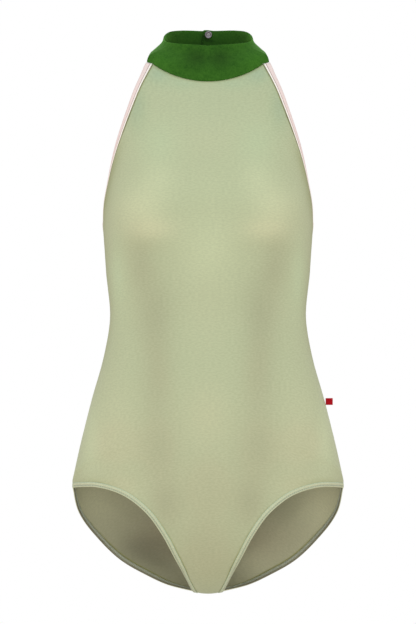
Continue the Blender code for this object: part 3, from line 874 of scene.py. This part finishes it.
# %% Carrying a profile along an edge
def carried(edge, profile, widths):
    """A grid: one row for every station and one column for every point of the profile."""
    out, high = np.array(profile).T
    spread = np.broadcast_to(widths, len(edge.points))[:, None] * out
    return (edge.points[:, None] + edge.off[:, None] * spread[..., None]
            + edge.normals[:, None] * high[:, None])


def band(name, edge, profile, closed, finish, slot, replaced=(), widths=1.0):
    """A band of cloth with a closed profile, and with flat ends unless it is a loop."""
    grid = carried(edge, profile, widths)
    rows, columns = grid.shape[:2]
    faces = grid_faces(rows, columns, closed, True)
    if not closed:
        faces.append(tuple(range(columns)))
        faces.append(tuple(range((rows - 1) * columns, rows * columns))[::-1])
    made = new_piece(name, grid, faces, finish, slot, replaced)
    put_cloth(made.data, walked(np.array(profile)), edge.run[:, None])
    put_floats(made.data, "out", np.tile([out for out, _ in profile], rows))
    face_out(made)
    return made


# %% [markdown]
# ## Leg hems
#
# Each leg opening ends in a narrow turned hem held by two rows of stitches. The hem is a little
# thicker than the jersey. One row runs along its seam, and the other presses a groove into it.
# The profile below runs over the outer face, round the folded edge and back along the inner
# face, so that the groove is real shape on both sides.

# %% Hem cloth
HEM_PROFILE = [
    (0.10, -0.75), (0.16, -0.10), (0.45, 0.10), (0.90, 0.32), (1.60, 0.42), (2.50, 0.42),
    (3.15, 0.34), (3.45, 0.14), (3.70, 0.06), (3.95, 0.14), (4.25, 0.38), (4.90, 0.46),
    (5.50, 0.24), (5.90, -0.16), (6.00, -0.60), (5.92, -1.00), (5.60, -1.34), (5.00, -1.54),
    (4.25, -1.56), (3.95, -1.40), (3.70, -1.34), (3.45, -1.40), (3.15, -1.54), (2.40, -1.58),
    (1.30, -1.56), (0.60, -1.50), (0.12, -1.20),
]
HEM_ROWS = (0.05, 3.70)    # how far out of the seam the two rows of stitches run
HEM_INSIDE_BELOW = -0.9    # the profile's points lower than this are on the inner side
HEM_FOLD = 4.6             # and of those, the ones further out than this are on the fold
GROOVE_DARK, GROOVE_REACH = 0.9, 0.5
HEM_LIGHT, HEM_DEEP = (0.620, 0.640, 0.440), (0.575, 0.598, 0.405)
# The colour of the painted shade in the groove and on the inner side of the fold.
HEM_SHADE = (0.200, 0.185, 0.125)
HEM_LOOP_HEIGHT = 0.000028


def hem_jersey(name):
    """The body's jersey, folded double and pressed by its stitches."""
    return sage_jersey(name, HEM_LIGHT, HEM_DEEP, HEM_SHADE, HEM_LOOP_HEIGHT)


# Painted shade on the hem: in the groove of the second row, and on the fold's inner side.
inner = [float(high < HEM_INSIDE_BELOW) for _, high in HEM_PROFILE]
dark = [max(GROOVE_DARK * bell(out - HEM_ROWS[1], GROOVE_REACH), inward * float(out > HEM_FOLD))
        for (out, _), inward in zip(HEM_PROFILE, inner)]
leg_hems = {}
for side, edge in leg_edges.items():
    leg_hems[side] = band("leg_hem_cloth_" + side, edge, HEM_PROFILE, True,
                          hem_jersey("Sage hem " + side), "sage_hem", ["leg_hem_" + side])
    put_floats(leg_hems[side].data, "seam", np.tile(dark, LEG_STATIONS))
    put_floats(leg_hems[side].data, "inner", np.tile(inner, LEG_STATIONS))
print("two leg hems,", len(leg_hems["left"].data.polygons), "faces each")

# %% [markdown]
# ## Thread
#
# The stitches are what makes a hem look sewn, and they are real little bulges of thread that
# catch the light one by one. Each is a six-sided capsule, a bit longer than wide, and a whole
# row of them is joined into one mesh, because a thousand objects would be slow to handle.
# Inside the hem the same machine lays a thread that zigzags between the rows.

# %% Stitches
THREAD_SIDES = 6
TURNS = np.linspace(0.0, 2 * math.pi, THREAD_SIDES, endpoint=False)
CAPSULE = [(-0.50, 0.0), (-0.42, 0.55), (-0.2, 0.95), (0.2, 0.95), (0.42, 0.55), (0.50, 0.0)]
WANDER, TILT = 0.1, 0.06   # how far stitches stray along their row, and how far they lean
AHEAD = 0.5                # the row's direction is read this far before and behind a stitch

StitchRow = namedtuple("StitchRow", "out high pitch length thick seed")


def read_line(edge, line, stops):
    """Places on a line beside an edge, with its direction and the direction off the cloth."""
    runs = walked(line)
    along = read_at(stops + AHEAD, runs, line) - read_at(stops - AHEAD, runs, line)
    return read_at(stops, runs, line), units(along), units(read_at(stops, runs, edge.normals))


def thread_rings(middles, along, off, thick):
    """A ring of points round each middle of a thread, square to its direction."""
    beside = units(np.cross(off, along))
    return (middles[:, None] + beside[:, None] * (np.cos(TURNS) * thick / 2)[:, None]
            + off[:, None] * (np.sin(TURNS) * thick / 2)[:, None])


def joined(parts):
    """Several lists of points and faces as one."""
    points, faces, start = [], [], 0
    for some_points, some_faces in parts:
        points.append(some_points)
        faces.extend(tuple(index + start for index in face) for face in some_faces)
        start += len(some_points)
    return np.vstack(points), faces


def stitch_row(edge, row):
    """Points and faces of one row of stitches along an edge."""
    line = edge.points + edge.off * row.out + edge.normals * row.high
    stops = np.arange(row.pitch / 2, walked(line)[-1], row.pitch)
    random = np.random.default_rng(row.seed)
    stray = random.uniform(-WANDER, WANDER, len(stops))
    spots, along, off = read_line(edge, line, stops + stray)
    along = units(along + np.cross(off, along) * random.uniform(-TILT, TILT, (len(stops), 1)))
    rings = [thread_rings(spots + along * far * row.length, along, off, wide * row.thick)
             for far, wide in CAPSULE]
    faces = grid_faces(len(CAPSULE), THREAD_SIDES, False, True)
    return joined([(points.reshape(-1, 3), faces) for points in np.stack(rings, axis=1)])


print("a stitch has", len(CAPSULE) * THREAD_SIDES, "points")


# %% Thread in the hems
Zigzag = namedtuple("Zigzag", "inner outer high pitch thick")
HEM_PITCH, HEM_STITCH = 2.9, 2.6
HEM_STITCH_ROWS = [StitchRow(HEM_ROWS[0], 0.06, HEM_PITCH, HEM_STITCH, 0.66, 1),
                   StitchRow(HEM_ROWS[1], 0.20, HEM_PITCH, HEM_STITCH, 0.52, 2)]
HEM_ZIGZAGS = [Zigzag(0.2, 3.6, -1.64, HEM_PITCH, 0.34),
               Zigzag(-0.1, 4.0, -1.70, 0.8 * HEM_PITCH, 0.30)]


def zigzag(edge, row):
    """Points and faces of a thread that swings between two lines inside the hem."""
    stops = np.linspace(0.0, edge.run[-1], 4 * int(edge.run[-1] / row.pitch) + 1)
    swing = (1 - np.cos(np.arange(len(stops)) * math.pi / 2)) / 2
    points, off, normals = (read_at(stops, edge.run, part) for part in edge[:3])
    out = row.inner + (row.outer - row.inner) * swing
    path = points + off * out[:, None] + normals * row.high
    rings = thread_rings(path, units(np.gradient(path, axis=0)), units(normals), row.thick)
    return rings.reshape(-1, 3), grid_faces(len(path), THREAD_SIDES, False, True)


MOTTLE, TWIST = 0.0007, 0.0003     # sizes of the thread's uneven colour and of its twist


def thread_finish(name, colour, deep):
    """Twisted polyester thread: a pale sheen, and a fine twist of light and dark."""
    made, tree, shader = new_finish(name)
    feed(tree, shader, Base_Color=mixed(tree, speckle(tree, MOTTLE), colour, deep),
         Roughness=0.42, Sheen_Weight=0.2)
    relief(tree, shader, speckle(tree, TWIST), deep=0.00004, strength=0.6)
    return made


hem_thread = thread_finish("Pale sage thread", (0.580, 0.760, 0.610), (0.52, 0.62, 0.46))
looper_thread = thread_finish("Grey green thread", (0.560, 0.610, 0.500), (0.46, 0.52, 0.42))
hem_stitches, hem_loopers = {}, {}
for side, edge in leg_edges.items():
    outside = joined([stitch_row(edge, row) for row in HEM_STITCH_ROWS])
    hem_stitches[side] = new_piece("hem_stitches_" + side, *outside, hem_thread, "sage_hem")
    inside = joined([zigzag(edge, row) for row in HEM_ZIGZAGS])
    hem_loopers[side] = new_piece("hem_looper_" + side, *inside, looper_thread, "sage_hem")
print("hem stitches:", len(hem_stitches["left"].data.polygons), "faces a side")

# %% [markdown]
# ## Pink bindings
#
# The armholes and the open back are bound with a folded pink strip. From the cloth outwards
# one sees a dark line of seam, a bright narrow ridge where the strip is turned over the edge,
# the groove of its stitches, and then the broad smooth fold, which turns greyer as it rounds
# the edge. The profile has all of these as shape, and the finish paints a highlight on the ridge
# and shade in the groove and round the fold.

# %% Binding cloth
BINDING_WIDTH = 8.5
BINDING_PROFILE = [
    (0.30, -0.50), (0.38, 0.10), (0.70, 0.50), (1.20, 0.62), (1.80, 0.60), (2.20, 0.42),
    (2.46, 0.14), (2.74, 0.12), (3.05, 0.34), (3.80, 0.50), (5.20, 0.54), (6.60, 0.40),
    (7.60, 0.12), (8.20, -0.22), (8.46, -0.60), (8.30, -1.00), (7.70, -1.32), (6.60, -1.54),
    (5.00, -1.64), (3.40, -1.64), (2.90, -1.40), (2.50, -1.34), (2.10, -1.56), (1.30, -1.60),
    (0.70, -1.52), (0.32, -1.20),
]
BINDING_GROOVE = 2.6       # how far out the stitches run
RIDGE_FADE, TURN_FADE = (2.5, 2.1), (6.0, 8.3)     # how far out the tints fade, in millimetres
GROOVE_FADE = (0.7, 0.2)   # the same, from the groove's middle
TURN_SHARE = 0.75
PINK_CLOUD = 0.012
PINK, PINK_DEEP = (0.900, 0.725, 0.690), (0.850, 0.665, 0.635)
# A painted highlight on the ridge; painted shade in the groove and round the fold.
PINK_RIDGE_HIGHLIGHT = (1.0, 0.910, 0.840)
PINK_GROOVE_SHADE = (0.480, 0.330, 0.325)
PINK_FOLD_SHADE = (0.780, 0.640, 0.610)


def pink_strip(name):
    """Smooth pink tricot: painted highlight on the ridge, painted mauve shade in groove and fold.
    """
    made, tree, shader = new_finish(name)
    out = attribute(tree, "out")
    from_groove = maths(tree, "ABSOLUTE", maths(tree, "SUBTRACT", out, BINDING_GROOVE))
    ridge = ramp(tree, out, *RIDGE_FADE, kind="SMOOTHSTEP")
    groove = ramp(tree, from_groove, *GROOVE_FADE, kind="SMOOTHSTEP")
    fold = ramp(tree, out, *TURN_FADE, end=TURN_SHARE, kind="SMOOTHSTEP")
    colour = mixed(tree, speckle(tree, PINK_CLOUD, 3.0), PINK, PINK_DEEP)
    # Painted highlight and painted shade, by how far out each point is.
    for share, tint in ((ridge, PINK_RIDGE_HIGHLIGHT), (groove, PINK_GROOVE_SHADE), (fold, PINK_FOLD_SHADE)):
        colour = mixed(tree, share, colour, tint)
    feed(tree, shader, Base_Color=colour, Roughness=0.40, Specular_IOR_Level=0.1,
         Sheen_Weight=0.03, Sheen_Roughness=0.4)
    relief(tree, shader, loops(tree), deep=LOOP_HEIGHT, strength=0.8)
    return made


FLARE, FLARE_REACH = 0.22, 14.0                       # it spreads a little under the collar
SPREAD, SPREAD_PLACE, SPREAD_REACH = 0.13, 556.0, 24.0     # and below the shoulder
from_collar = armhole_edge.run[-1] - armhole_edge.run
armhole_widths = (1.0 + FLARE * bell(from_collar, FLARE_REACH)
                  + SPREAD * bell(armhole_edge.points[:, 2] - SPREAD_PLACE, SPREAD_REACH))
for side in ("left", "right"):
    band("armhole_binding_cloth_" + side, bound_edges[side], BINDING_PROFILE,
                          False, pink_strip("Pink binding " + side), "pink_binding",
                          ["armhole_binding_" + side], armhole_widths)
band("back_binding_cloth", back_edge, BINDING_PROFILE, False,
                        pink_strip("Pink back binding"), "pink_binding", ["back_binding"])
print("bindings", BINDING_WIDTH, "mm wide")

# %% Binding stitches
BINDING_STITCH_ROWS = [StitchRow(BINDING_GROOVE, 0.20, 2.4, 1.7, 0.30, 3),
                       StitchRow(BINDING_GROOVE, -1.40, 2.4, 1.7, 0.30, 4)]

binding_thread = thread_finish("Mauve thread", (0.62, 0.46, 0.45), (0.48, 0.34, 0.33))
for side, edge in bound_edges.items():
    rows = joined([stitch_row(edge, row) for row in BINDING_STITCH_ROWS])
    new_piece("binding_stitches_" + side, *rows, binding_thread,
                                       "pink_binding")

# %% Dark seam line beside the bindings
# The dark line is partly thread and partly painted shade of the seam's recess, as one dark band.
seam_thread_and_shade = thread_finish("Olive seam thread", (0.250, 0.225, 0.110), (0.180, 0.160, 0.075))
SEAM_LINE = [(-0.55, -0.60), (-0.55, -0.10), (-0.3, 0.10), (0.05, 0.14), (0.32, 0.05),
             (0.36, -0.60)]
for side, edge in bound_edges.items():
    band("binding_seam_" + side, edge, SEAM_LINE, False, seam_thread_and_shade,
                            "sage_cloth")
print("dark seam lines beside the bindings")

# %% [markdown]
# ## The standing collar
#
# The collar is a double band of short dense pile. It leaves the neckline, closes on the neck
# and laps over itself at the centre back, where one press stud holds it. Its base line is the
# front's upper edge, carried on round the neck, and its rim is an ellipse whose height changes
# from low at the front to high at the back.

# %% Collar lines
COLLAR_CLOTH = 1.8
BasePoint = namedtuple("BasePoint", "x y z")
COLLAR_BASE_BEHIND = [BasePoint(*row) for row in [
    (73.8, -14.0, 667.0), (72.6, 8.0, 667.6), (67.0, 31.0, 667.0),
    (50.0, 49.0, 667.0), (27.0, 58.5, 667.0), (0.0, 61.5, 667.0),
]]
RIM_HALF_WIDTH, RIM_FRONT, RIM_BACK = 56.3, 50.0, 54.0
BASE_HALF_WIDTH, BASE_DEPTH = 75.0, 63.0
RimHeight = namedtuple("RimHeight", "angle z")
COLLAR_RIM = [RimHeight(*row) for row in [
    (0, 679.6), (45, 684.0), (75, 689.5), (90, 694.0),
    (105, 700.5), (120, 705.5), (140, 708.6), (180, 709.6),
]]
CollarLevel = namedtuple("CollarLevel", "up spread")
COLLAR_LEVELS = [CollarLevel(*row) for row in [
    (0.0, 1.0), (0.18, 0.967), (0.36, 0.867),
    (0.545, 0.55), (0.727, 0.205), (0.86, 0.06),
    (1.0, 0.0),
]]
OVERLAP_INNER, OVERLAP_OUTER = 8.0, 16.0     # how far the ends run past the centre back
OVERLAP_EASE, OVERLAP_SHIFT = 26.0, 1.2      # how softly and how far they part to lap
NECKLINE_POINTS, BEHIND_POINTS, COLLAR_STATIONS = 41, 50, 300


def collar_base():
    """Half of the collar's base line, from the centre front to the centre back."""
    neckline = across(front_sections[-1], np.linspace(0.0, 1.0, NECKLINE_POINTS), -1)
    over_binding = (armhole_edge.points[-1] + armhole_edge.off[-1] * BINDING_WIDTH
                    + np.array([0.0, 0.0, SEAM_GAP]))
    behind = np.vstack([over_binding, np.array(COLLAR_BASE_BEHIND)])
    knots = walked(behind)
    curve = smooth_through(np.append(knots, 2 * knots[-1] - knots[-2]),
                           np.vstack([behind, behind[-2] * MIRROR]),
                           np.linspace(0.0, knots[-1], BEHIND_POINTS))
    return np.vstack([neckline, curve])


def eased(share):
    """A share from 0 to 1 that starts and ends gently."""
    return share * share * (3 - 2 * share)


def collar_ring(half):
    """The whole base line, from the outer end over the centre back to the inner end."""
    closed = np.vstack([half[::-1] * MIRROR, half[1:]])
    runs = walked(closed)
    total = runs[-1]
    stops = np.linspace(-OVERLAP_OUTER, total + OVERLAP_INNER, COLLAR_STATIONS)
    from_outer = np.clip(1 - stops / OVERLAP_EASE, 0, 1)
    from_inner = np.clip(1 - (total - stops) / OVERLAP_EASE, 0, 1)
    shift = OVERLAP_SHIFT * (eased(from_outer) - eased(from_inner))
    return read_at(stops % total, runs, closed), shift, stops


def rim_over(base):
    """The rim over the points of the collar's base, the same way round the neck."""
    angle = np.arctan2(base[:, 0] / BASE_HALF_WIDTH, -base[:, 1] / BASE_DEPTH)
    heights = np.array(COLLAR_RIM, float)
    height = smooth_through(heights[:, 0], heights[:, 1:2], np.abs(np.degrees(angle)))
    depth = np.where(np.abs(angle) < math.pi / 2, RIM_FRONT, RIM_BACK)
    return np.stack([RIM_HALF_WIDTH * np.sin(angle), -depth * np.cos(angle), height[:, 0]], axis=1)


collar_line, collar_shift, collar_stops = collar_ring(collar_base())
print("collar", round(float(collar_stops[-1] - collar_stops[0])), "mm round with its laps")


# %% Collar surface
LEVELS_UP = 22
RIM_TURNS = 7              # steps of the round over the rim
INNER_LIFT, INNER_LIFT_REACH = 0.9, 13.0     # the inner end stands a little proud
END_EASE = [(0.0, 0.35), (0.35, 0.75), (0.9, 0.95)]     # how the ends are pressed thinner
WAVE, WAVE_LENGTH = 0.25, 23.0     # the rim's slow wave, and its length over 2 pi


def collar_grid():
    """The middle surface of the double cloth, with its directions off the face."""
    levels = np.array(COLLAR_LEVELS)
    ups = np.linspace(0.0, 1.0, LEVELS_UP)
    spreads = smooth_through(levels[:, 0], levels[:, 1:2], ups)[:, 0]
    rim = rim_over(collar_line)
    tall = rim[:, 2] - collar_line[:, 2]
    rows = []
    for up, spread in zip(ups, spreads):
        row = rim + (collar_line - rim) * spread
        row[:, 2] = collar_line[:, 2] + tall * (up - COLLAR_CLOTH / 2 * up / tall) + SEAM_GAP
        wave = WAVE * np.sin(collar_stops / WAVE_LENGTH) * up * up
        rows.append(row + units(row * LEVEL) * (collar_shift + wave)[:, None])
    grid = np.array(rows)
    from_inner = (collar_stops[-1] - collar_stops) / INNER_LIFT_REACH
    grid[..., 2] += INNER_LIFT * np.exp(-from_inner**4) * ups[:, None] ** 2
    normals = face_directions(grid)
    return grid - normals * COLLAR_CLOTH / 2, normals


def collar_points():
    """Rows round the neck: up the outer face, over the rim and down the inner face."""
    middle, normals = collar_grid()
    from_ends = np.minimum(collar_stops - collar_stops[0], collar_stops[-1] - collar_stops)
    thin = np.interp(from_ends, *zip(*END_EASE))
    half = COLLAR_CLOTH / 2 * np.where(thin >= END_EASE[-1][1], 1.0, thin)[:, None]
    rise = units(middle[-1] - middle[-2])
    turns = np.linspace(0.0, math.pi, RIM_TURNS + 2)[1:-1]
    over = [middle[-1] + (normals[-1] * math.cos(turn) + rise * math.sin(turn)) * half
            for turn in turns]
    return np.array([*(middle + normals * half), *over, *(middle - normals * half)[::-1]])


collar_rows = collar_points()
loop_count, ring_count = collar_rows.shape[:2]
collar_faces = grid_faces(loop_count, ring_count, True, False)
for end in (0, ring_count - 1):
    cap = [row * ring_count + end for row in range(loop_count)]
    for step in range(loop_count // 2):
        quad = (cap[step], cap[step + 1], cap[-step - 2], cap[-step - 1])
        if len(set(quad)) >= 3:
            collar_faces.append(tuple(dict.fromkeys(quad)))
print("collar grid", collar_rows.shape)

# %% [markdown]
# ## Pile
#
# The collar's pile is short, dense and dark green head on, and it turns lighter where one looks
# along the fibres. Sheen does that in the shader. Brushed pile also lies in patches, so a soft
# noise tips its colour and its relief a little, in two sizes. Over these, painted shade lies low
# at the front, painted light at the rim and the sides, painted shade inside the collar towards
# the back, and a few small painted shadows beside the stud.

# %% Green pile
PATCH, FIBRE = 0.0075, 0.0019          # sizes of the brushed patches and of the fibres' tufts
PATCH_DEPTH = 1.5                      # how deep a patch is beside a tuft
TIP_RANGE, TIP_SHARE = (0.3, 0.7), 0.75     # the tufts whose tips are light, and how light
PILE, PILE_LIGHT = (0.0050, 0.054, 0.0006), (0.043, 0.142, 0.0120)
PILE_INSIDE_SHADE = (0.010, 0.046, 0.004)
PILE_SHADOW = (0.002, 0.012, 0.001)
PILE_SHEEN = (0.30, 0.80, 0.14)


def green_pile(name):
    """Short dense pile, brushed in patches."""
    made, tree, shader = new_finish(name)
    patches, fibres = speckle(tree, PATCH, 3.0), speckle(tree, FIBRE, 2.0)
    colour = mixed(tree, patches, PILE, PILE_LIGHT)
    colour = mixed(tree, ramp(tree, fibres, *TIP_RANGE, end=TIP_SHARE), colour, PILE_LIGHT)
    # Painted light and painted shade on the pile, from the soft spots.
    colour = lightened(tree, colour, "painted_light")
    # Painted shade inside the collar.
    colour = mixed(tree, attribute(tree, "inside"), colour, PILE_INSIDE_SHADE)
    # Small painted shadows beside the stud.
    colour = mixed(tree, attribute(tree, "painted_shadow"), colour, PILE_SHADOW)
    feed(tree, shader, Base_Color=colour, Roughness=0.85, Specular_IOR_Level=0.15,
         Sheen_Weight=0.34, Sheen_Roughness=0.35, Sheen_Tint=PILE_SHEEN)
    height = maths(tree, "ADD", maths(tree, "MULTIPLY", patches, PATCH_DEPTH), fibres)
    relief(tree, shader, height, deep=0.00022, strength=0.7)
    return made


collar_cloth = new_piece("collar_cloth", collar_rows, collar_faces,
                         green_pile("Dark green pile"), "green_pile", ["collar"])

# %% Painted light and shade on the pile
# Painted shade on the inner face, deeper down and towards the back.
INSIDE_FROM, INSIDE_OVER = 14.0, 30.0     # the inner face darkens from here on towards the back
# Soft spots of painted light and painted shade on the pile.
PILE_PAINTED_SPOTS = [Spot(*row) for row in [
    (16, 664, 14, 15, -0.34, 0.0), (0, 664, 12, 8, -0.14, 0.0), (37, 692, 15, 8, 0.36, 0.0),
    (60, 664, 14, 18, 0.20, 0.0), (52, 694, 6, 9, 0.30, 0.0), (0, 678, 50, 30, -0.06, 0.0),
]]
# Small painted shadows on the inner face beside the press stud.
STUD_PAINTED_SHADOWS = [Spot(*row) for row in [
    (-4.5, 702.5, 2.2, 3.5, 0.85), (-2.0, 698.5, 3.5, 1.8, 0.7),
    (4.0, 697.0, 4.5, 1.3, 0.5), (-8.0, 694.0, 0.9, 9.0, 0.6),
]]

x, z = collar_rows[..., 0], collar_rows[..., 2]
behind = np.clip((collar_rows[-1, :, 1] - INSIDE_FROM) / INSIDE_OVER, 0.0, 1.0)
inside = np.zeros(x.shape)
inside[LEVELS_UP + RIM_TURNS:] = np.linspace(0.0, 1.0, LEVELS_UP)[:, None] ** 0.5 * behind
put_floats(collar_cloth.data, "inside", inside)
put_floats(collar_cloth.data, "painted_light", spots_at(np.abs(x), z, PILE_PAINTED_SPOTS))
# Painted shadows beside the stud, only on the inner face.
put_floats(collar_cloth.data, "painted_shadow", spots_at(x, z, STUD_PAINTED_SHADOWS) * (inside > 0.0))
face_out(collar_cloth)
print("collar", len(collar_cloth.data.polygons), "faces")

# %% [markdown]
# ## Press stud and tab
#
# The press stud at the centre back shows as a small domed cap with a rolled ring on each face
# of the collar. A cap is a profile turned round its axis. The plain red tab in the side seam is
# a short ribbon folded in half, woven across and slightly curled by its own stiffness.

# %% Press stud caps
SNAP_RADIUS = 4.6
SNAP_X, SNAP_HEIGHT = 0.6, 704.6
SNAP_LEAN = 7.0            # degrees that the caps lean back with the collar
SNAP_SEAT = 0.45           # how far the inner cap stands off the leaning collar; the outer, twice
CAP_PROFILE = [
    (0.0, 0.62), (0.18, 0.64), (0.36, 0.58), (0.46, 0.50), (0.52, 0.56), (0.60, 0.92),
    (0.68, 1.18), (0.78, 1.32), (0.88, 1.24), (0.96, 0.98), (1.0, 0.60), (0.98, 0.20),
    (0.93, 0.0), (0.0, 0.0),
]
CAP_SIDES = 48
NICKEL, NICKEL_WORN = (0.40, 0.35, 0.39), (0.15, 0.12, 0.145)
JOIN = 0.000001            # points this close in metres, as on a cap's axis, become one
SCUFF, MARK = 0.0016, 0.0005     # sizes of the worn patches and of the marks of turning


def snap_metal(name):
    """Nickel-plated brass with the fine marks of turning and handling."""
    made, tree, shader = new_finish(name)
    worn = speckle(tree, SCUFF, 3.0)
    feed(tree, shader, Base_Color=mixed(tree, worn, NICKEL, NICKEL_WORN), Metallic=1.0,
         Roughness=ramp(tree, worn, 0.0, 1.0, 0.42, 0.6))
    relief(tree, shader, speckle(tree, MARK), deep=0.00002, strength=0.4)
    return made


def snap(name, depth, facing, replaced):
    """A cap of the press stud, turned to face the neck or away from it."""
    turns = np.linspace(0.0, 2 * math.pi, CAP_SIDES, endpoint=False)
    lean = math.radians(facing * 90 + SNAP_LEAN)
    points = []
    for out, high in CAP_PROFILE:
        ring = np.stack([out * SNAP_RADIUS * np.cos(turns), out * SNAP_RADIUS * np.sin(turns),
                         np.full(CAP_SIDES, high)], axis=1)
        y = ring[:, 1] * math.cos(lean) - ring[:, 2] * math.sin(lean)
        z = ring[:, 1] * math.sin(lean) + ring[:, 2] * math.cos(lean)
        points.append(np.stack([ring[:, 0] + SNAP_X, y + depth, z + SNAP_HEIGHT], axis=1))
    made = new_piece(name, np.vstack(points), grid_faces(len(CAP_PROFILE), CAP_SIDES, False, True),
                     snap_metal(name.replace("_", " ")), "snap_metal", [replaced])
    face_out(made, JOIN)


snap("snap_inner", RIM_BACK - OVERLAP_SHIFT - COLLAR_CLOTH - SNAP_SEAT, 1, "snap_cap_inner")
snap("snap_outer", RIM_BACK + OVERLAP_SHIFT + 2 * SNAP_SEAT, -1, "snap_cap_outer")
print("two caps", 2 * SNAP_RADIUS, "mm across")

# %% Red ribbon tab
TAB_SIZE = (9.0, 1.6, 8.5)
TAB_HEIGHT = 240.3
TAB_SEAM_X = 147.0
RIBBON = 0.55              # thickness of the ribbon, folded so that it lies double
RIBBON_EDGE = [(-0.5, 0.6), (-0.46, 1.0), (-0.4, 1.0), (-0.36, 0.8), (0.0, 0.8), (0.36, 0.8),
               (0.4, 1.0), (0.46, 1.0), (0.5, 0.6)]
RIB, UNEVEN = 0.00045, 0.0012     # one weft rib, and the size of the dye's unevenness
FACE_STEPS, FOLD_STEPS = 8, 9
BOW, NEAR_BOW, FAR_BOW = 0.25, 0.5, 0.8     # how far the ribbon bows, and each face's share
RED, RED_DEEP = (0.520, 0.003, 0.014), (0.400, 0.002, 0.009)


def red_ribbon(name):
    """A plain woven ribbon, with fine weft ribs across it."""
    made, tree, shader = new_finish(name)
    ribs = maths(tree, "SINE", maths(tree, "MULTIPLY", on_cloth(tree)[0], 2 * math.pi / RIB))
    feed(tree, shader, Base_Color=mixed(tree, speckle(tree, UNEVEN), RED, RED_DEEP),
         Roughness=0.6, Specular_IOR_Level=0.1)
    relief(tree, shader, ribs, deep=0.00004, strength=0.7)
    return made


def ribbon_line():
    """The folded ribbon seen from above: out along one face, round the fold, and back."""
    out, thick, _ = TAB_SIZE
    half = thick / 2 - RIBBON / 2
    fold = np.linspace(math.pi / 2, -math.pi / 2, FOLD_STEPS)[1:-1]
    away = np.linspace(0.0, out - half - RIBBON / 2, FACE_STEPS)
    bow = BOW * np.sin(away / away[-1] * math.pi)
    first = np.stack([away, half - bow * NEAR_BOW], axis=1)
    turn = np.stack([away[-1] + half * np.cos(fold), half * np.sin(fold)], axis=1)
    last = np.stack([away, bow * FAR_BOW - half], axis=1)[::-1]
    return np.vstack([first, turn, last])


line = ribbon_line()
ahead = units(np.gradient(line, axis=0))
beside = np.stack([-ahead[:, 1], ahead[:, 0]], axis=1)
tab_points, tab_ups = [], []
for face in (1, -1):
    for up, thick in RIBBON_EDGE[::face]:
        shifted = line + beside * face * thick * RIBBON / 2
        tab_ups.append(up * TAB_SIZE[2])
        tab_points.append(np.stack([TAB_SEAM_X + shifted[:, 0], shifted[:, 1],
                                    np.full(len(line), TAB_HEIGHT + tab_ups[-1])], axis=1))
tab_faces = grid_faces(len(tab_points), len(line), True, False)
for end in (0, len(line) - 1):
    tab_faces.append(tuple(row * len(line) + end for row in range(len(tab_points))))
red_tab = new_piece("red_tab_ribbon", tab_points, tab_faces, red_ribbon("Red ribbon"), "red_tab",
                    ["side_tab"])
put_cloth(red_tab.data, walked(line), np.array(tab_ups)[:, None])
face_out(red_tab)
print("tab", TAB_SIZE, "mm")

# %% [markdown]
# ## Seams inside
#
# Where two panels meet, their edges are sewn together on the inside as a narrow overlocked
# ridge. It closes the hairline between the panels, and one sees it through the leg openings
# and over the open back. It runs down both sides, across the crotch and under the collar.

# %% Overlocked seams
SEAM_RIDGE = [(-2.2, -0.95), (-2.3, -1.5), (-1.2, -1.75), (0.0, -1.85), (1.2, -1.75),
              (2.3, -1.5), (2.2, -0.95), (0.25, -0.9), (0.1, -0.35), (-0.1, -0.35), (-0.25, -0.9)]
CROTCH_STATIONS, NECK_STATIONS = 24, 90
BACKWARDS, DOWN = np.array([0.0, 1.0, 0.0]), np.array([0.0, 0.0, -1.0])

side_line = np.array([across(section, np.array([1.0]), -1)[0]
                      for section in front_sections[LEG_END:SIDE_END + 1]])
side_line[:, 1] = 0.0
side_off = np.tile(BACKWARDS, (len(side_line), 1))
side_normals = np.cross(side_off, units(np.gradient(side_line, axis=0)))
side_normals *= np.sign(side_normals[:, :1])
crotch_x = np.linspace(-CROTCH.edge_x, CROTCH.edge_x, CROTCH_STATIONS)
sweep = math.radians(CROTCH.sweep)
crotch_z = (CROTCH.edge_z * (1 - np.cos(np.abs(crotch_x) / CROTCH.edge_x * sweep))
            / (1 - math.cos(sweep)))
crotch_line = np.stack([crotch_x, np.zeros(CROTCH_STATIONS), crotch_z], axis=1)
crotch_off, crotch_normals = (np.tile(way, (CROTCH_STATIONS, 1)) for way in (BACKWARDS, DOWN))
neck_line = across(front_sections[-1], np.linspace(-1.0, 1.0, NECK_STATIONS), -1)
neck_normals = units(neck_line * LEVEL)
neck_off = units(np.cross(np.gradient(neck_line, axis=0), neck_normals))
neck_off *= np.sign(neck_off[:, 2:])
neck_line = neck_line + neck_off * SEAM_GAP / 2
for name, line, off, normals in (
        ("collar_seam", neck_line, neck_off, neck_normals),
        ("side_seam_left", side_line, side_off, side_normals),
        ("side_seam_right", side_line * MIRROR, side_off, side_normals * MIRROR),
        ("crotch_seam", crotch_line, crotch_off, crotch_normals)):
    edge = Edge(line, units(off), units(normals), walked(line))
    band(name, edge, SEAM_RIDGE, False, hem_jersey(name.replace("_", " ")),
                             "sage_cloth")
